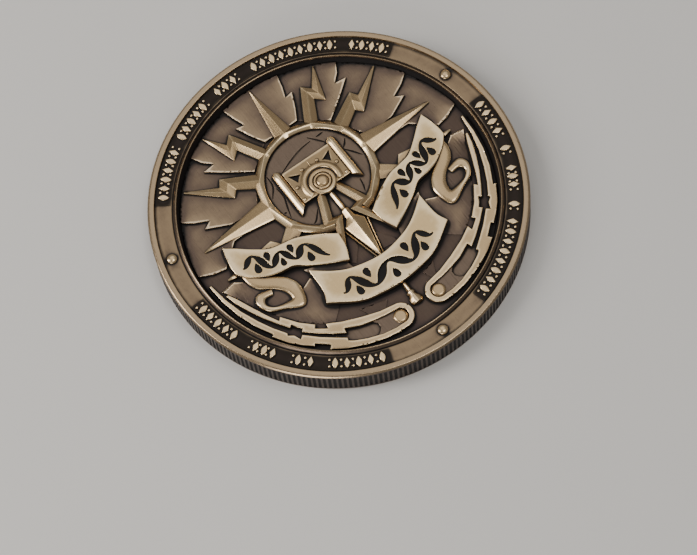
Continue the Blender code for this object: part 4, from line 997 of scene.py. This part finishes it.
def bronze(name, body, bright, rough=0.32, grimeAt=0.0, grimeSpan=0.10, wearAt=0.02, wearSpan=0.10,
           paintedShadeAt=-0.05, brush=0.0, brushTurn=0.0, blotch=0.25):
    # antique bronze: dark patina where the metal lies just below what is round it, painted shade in a grey-purple
    # tone where it lies below the wider relief round it, bright metal where it stands proud, and body colour between
    m, s = Finish(name), patinaAndShadeTones
    near, wide = m.attribute("near"), m.attribute("wide")
    level = near + wide * s["wideShare"]
    patches = m.noise(900.0, 3.0, 0.6)
    speckle = m.noise(6500.0, 2.0, 0.6)
    grain = m.noise(16000.0, 2.0, 0.5)
    lines = m.noise(5200.0, 2.0, 0.6, stretch=(1.0, 0.05, 1.0), turn=brushTurn)
    unrest = (patches - 0.5) * 0.05 + (speckle - 0.5) * 0.012
    grime = 1 - (level + unrest).between(grimeAt - grimeSpan, grimeAt)
    wear = (level + unrest).between(wearAt, wearAt + wearSpan)
    shade = (patches * 0.6 + speckle * 0.4 - 0.5) * (blotch * 2.2) + (lines - 0.5) * brush
    darker = tone(*(c * s["darker"] for c in body[:3]))
    colour = m.mix((shade + 0.5).clamped(), darker, body)
    # painted shade: the grey-purple tone where the metal lies below the wider relief round it, such as the low side
    # of each tilted plate and the foot of the rays
    paintedShade = 1 - (wide + unrest).between(paintedShadeAt - 0.12, paintedShadeAt + 0.08)
    colour = m.mix(paintedShade * s["paintedShadeShare"], colour, s["paintedShade"])
    colour = m.mix(wear * s["wearShare"], colour, bright)
    colour = m.mix(grime, colour, s["deep"])
    roughness = rough + grime * 0.32 - wear * 0.06 + (speckle - 0.5) * 0.06 + (lines - 0.5) * brush * 0.25
    normal = m.bump(lines, s["lineDepth"] * brush)
    normal = m.bump(grain * 0.6 + speckle, s["grainDepth"], normal)
    return m.finish(Base_Color=colour, Roughness=roughness, Metallic=1 - grime * 0.65, Normal=normal)


def enamelBlack():
    m = Finish("coin_black_fill")
    speckle, pits = m.noise(3000.0, 3.0, 0.6), m.noise(12000.0, 2.0, 0.5)
    colour = m.mix(speckle, tone(0.004, 0.004, 0.004), tone(0.014, 0.012, 0.011))
    return m.finish(Base_Color=colour, Roughness=0.34 + speckle * 0.22, Metallic=0.0, Specular_IOR_Level=0.18,
                    Normal=m.bump(pits, 0.000006))


finishes = {
    "rim": bronze("coin_rim_bronze", tone(0.35, 0.255, 0.160), tone(0.43, 0.320, 0.200), rough=0.30, brush=0.5,
                  wearAt=0.07),
    "relief": bronze("coin_relief_bronze", tone(0.66, 0.475, 0.265), tone(0.95, 0.74, 0.45), rough=0.27,
                     grimeAt=-0.02, wearAt=0.05, wearSpan=0.14, brush=0.2, blotch=0.15),
    "block": bronze("coin_block_bronze", tone(0.40, 0.29, 0.165), tone(0.80, 0.61, 0.37), rough=0.30,
                    grimeAt=-0.02, wearAt=0.07, wearSpan=0.14, brush=0.4, blotch=0.2),
    "polished": bronze("coin_ribbon_bronze", tone(0.84, 0.615, 0.325), tone(0.97, 0.77, 0.48), rough=0.26,
                       brush=0.2, blotch=0.12),
    "brushed": bronze("coin_field_bronze", tone(0.42, 0.31, 0.20), tone(0.94, 0.74, 0.50), rough=0.34,
                      brush=1.5, grimeAt=-0.03, grimeSpan=0.08, wearAt=0.05, wearSpan=0.06, paintedShadeAt=0.02, brushTurn=0.3),
    "ground": bronze("coin_ground_bronze", tone(0.22, 0.165, 0.125), tone(0.50, 0.39, 0.27), rough=0.38,
                     brush=1.4, grimeAt=-0.04, grimeSpan=0.14, wearAt=0.06, paintedShadeAt=-0.25, brushTurn=1.2),
    "floor": bronze("coin_core_bronze", tone(0.13, 0.095, 0.076), tone(0.42, 0.32, 0.22), rough=0.40, brush=1.0,
                    grimeAt=-0.03, grimeSpan=0.20, wearAt=0.06, paintedShadeAt=-0.2, brushTurn=0.8),
    "black": bronze("coin_legend_ground", tone(0.040, 0.033, 0.028), tone(0.12, 0.10, 0.075), rough=0.46,
                    brush=0.3),
    "enamel": enamelBlack(),
}
print("finishes mixed")


def build(piece):
    # the body's points and faces go into a mesh in metres, with its shading as two attributes
    body = piece["body"]
    mesh = bpy.data.meshes.new(piece["name"])
    mesh.vertices.add(len(body.points))
    mesh.vertices.foreach_set("co", (body.points * mm).astype(np.float32).ravel())
    corners = np.concatenate([body.quads.ravel(), body.tris.ravel(), *[np.array(cap) for cap in body.caps]])
    sizes = np.array([4] * len(body.quads) + [3] * len(body.tris) + [len(cap) for cap in body.caps])
    mesh.loops.add(len(corners))
    mesh.loops.foreach_set("vertex_index", corners.astype(np.int32))
    mesh.polygons.add(len(sizes))
    mesh.polygons.foreach_set("loop_start", (np.cumsum(sizes) - sizes).astype(np.int32))
    mesh.update(calc_edges=True)
    mesh.validate()
    mesh.shade_smooth()
    mesh.set_sharp_from_angle(angle=math.radians(sharpAngle))
    for name in ("near", "wide"):
        mesh.attributes.new(name, "FLOAT", "POINT").data.foreach_set("value", piece[name].astype(np.float32))
    mesh.materials.append(finishes[piece["finish"]])
    look = bpy.data.objects.new(piece["name"] + "_look", mesh)
    bpy.context.scene.collection.objects.link(look)
    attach(look, "root")
    if piece["nodes"]:
        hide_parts(*piece["nodes"])


sharpAngle = 34.0
for piece in made:
    build(piece)
print("pieces built:", len(made))


def plainMaterial(name, colour, roughness):
    m = Finish(name)
    cloudy = m.noise(60.0, 3.0, 0.5)
    shade = m.mix(cloudy, tone(*(c * 0.97 for c in colour)), tone(*colour))
    return m.finish(Base_Color=shade, Roughness=roughness)


def setStage():
    s = {"floor": 1.2, "colour": (0.74, 0.73, 0.71)}
    mesh = bpy.data.meshes.new("floor")
    half = s["floor"] / 2
    corners = [(-half, -half, 0), (half, -half, 0), (half, half, 0), (-half, half, 0)]
    mesh.from_pydata(corners, [], [(0, 1, 2, 3)])
    mesh.materials.append(plainMaterial("plain_floor", s["colour"], 0.6))
    floor = bpy.data.objects.new("floor", mesh)
    bpy.context.scene.collection.objects.link(floor)


def areaLight(name, power, size, place, colour):
    # a rectangle of light that faces the coin
    light = bpy.data.lights.new(name, "AREA")
    light.shape, light.size, light.size_y = "RECTANGLE", *size
    light.energy, light.color = power, colour
    lamp = bpy.data.objects.new(name, light)
    lamp.location, lamp.rotation_mode = place, "QUATERNION"
    lamp.rotation_quaternion = Vector(place).normalized().to_track_quat("Z", "Y")
    bpy.context.scene.collection.objects.link(lamp)


def setLights():
    s = {"surround": (0.70, 0.68, 0.66), "strength": 0.42}
    world = bpy.data.worlds.new("studio")
    bpy.context.scene.world = world
    world.use_nodes = True
    background = world.node_tree.nodes["Background"].inputs
    background["Color"].default_value = tone(*s["surround"])
    background["Strength"].default_value = s["strength"]
    areaLight("key", 0.22, (0.30, 0.30), (0.09, 0.20, 0.42), (1.0, 0.97, 0.93))
    areaLight("left", 1.10, (0.14, 0.34), (-0.30, 0.17, 0.28), (1.0, 0.96, 0.92))
    areaLight("above", 0.50, (0.22, 0.16), (0.09, -0.09, 0.56), (1.0, 0.97, 0.92))
    areaLight("low", 0.45, (0.20, 0.16), (-0.30, -0.23, 0.15), (1.0, 0.98, 0.96))


def setCamera():
    camera = bpy.data.cameras.new("camera")
    camera.lens, camera.sensor_width = 139.45, 36.0
    camera.clip_start, camera.clip_end = 0.01, 10.0
    holder = bpy.data.objects.new("camera", camera)
    right = (0.81030, -0.58226, -0.06619)
    up = (0.55595, 0.72811, 0.40096)
    back = (-0.18527, -0.36170, 0.91370)
    place = (-0.06194, -0.12031, 0.28524)
    holder.matrix_world = Matrix([[right[k], up[k], back[k], place[k]] for k in range(3)] + [[0, 0, 0, 1]])
    bpy.context.scene.collection.objects.link(holder)
    bpy.context.scene.camera = holder


setStage()
setLights()
setCamera()
print("stage set")
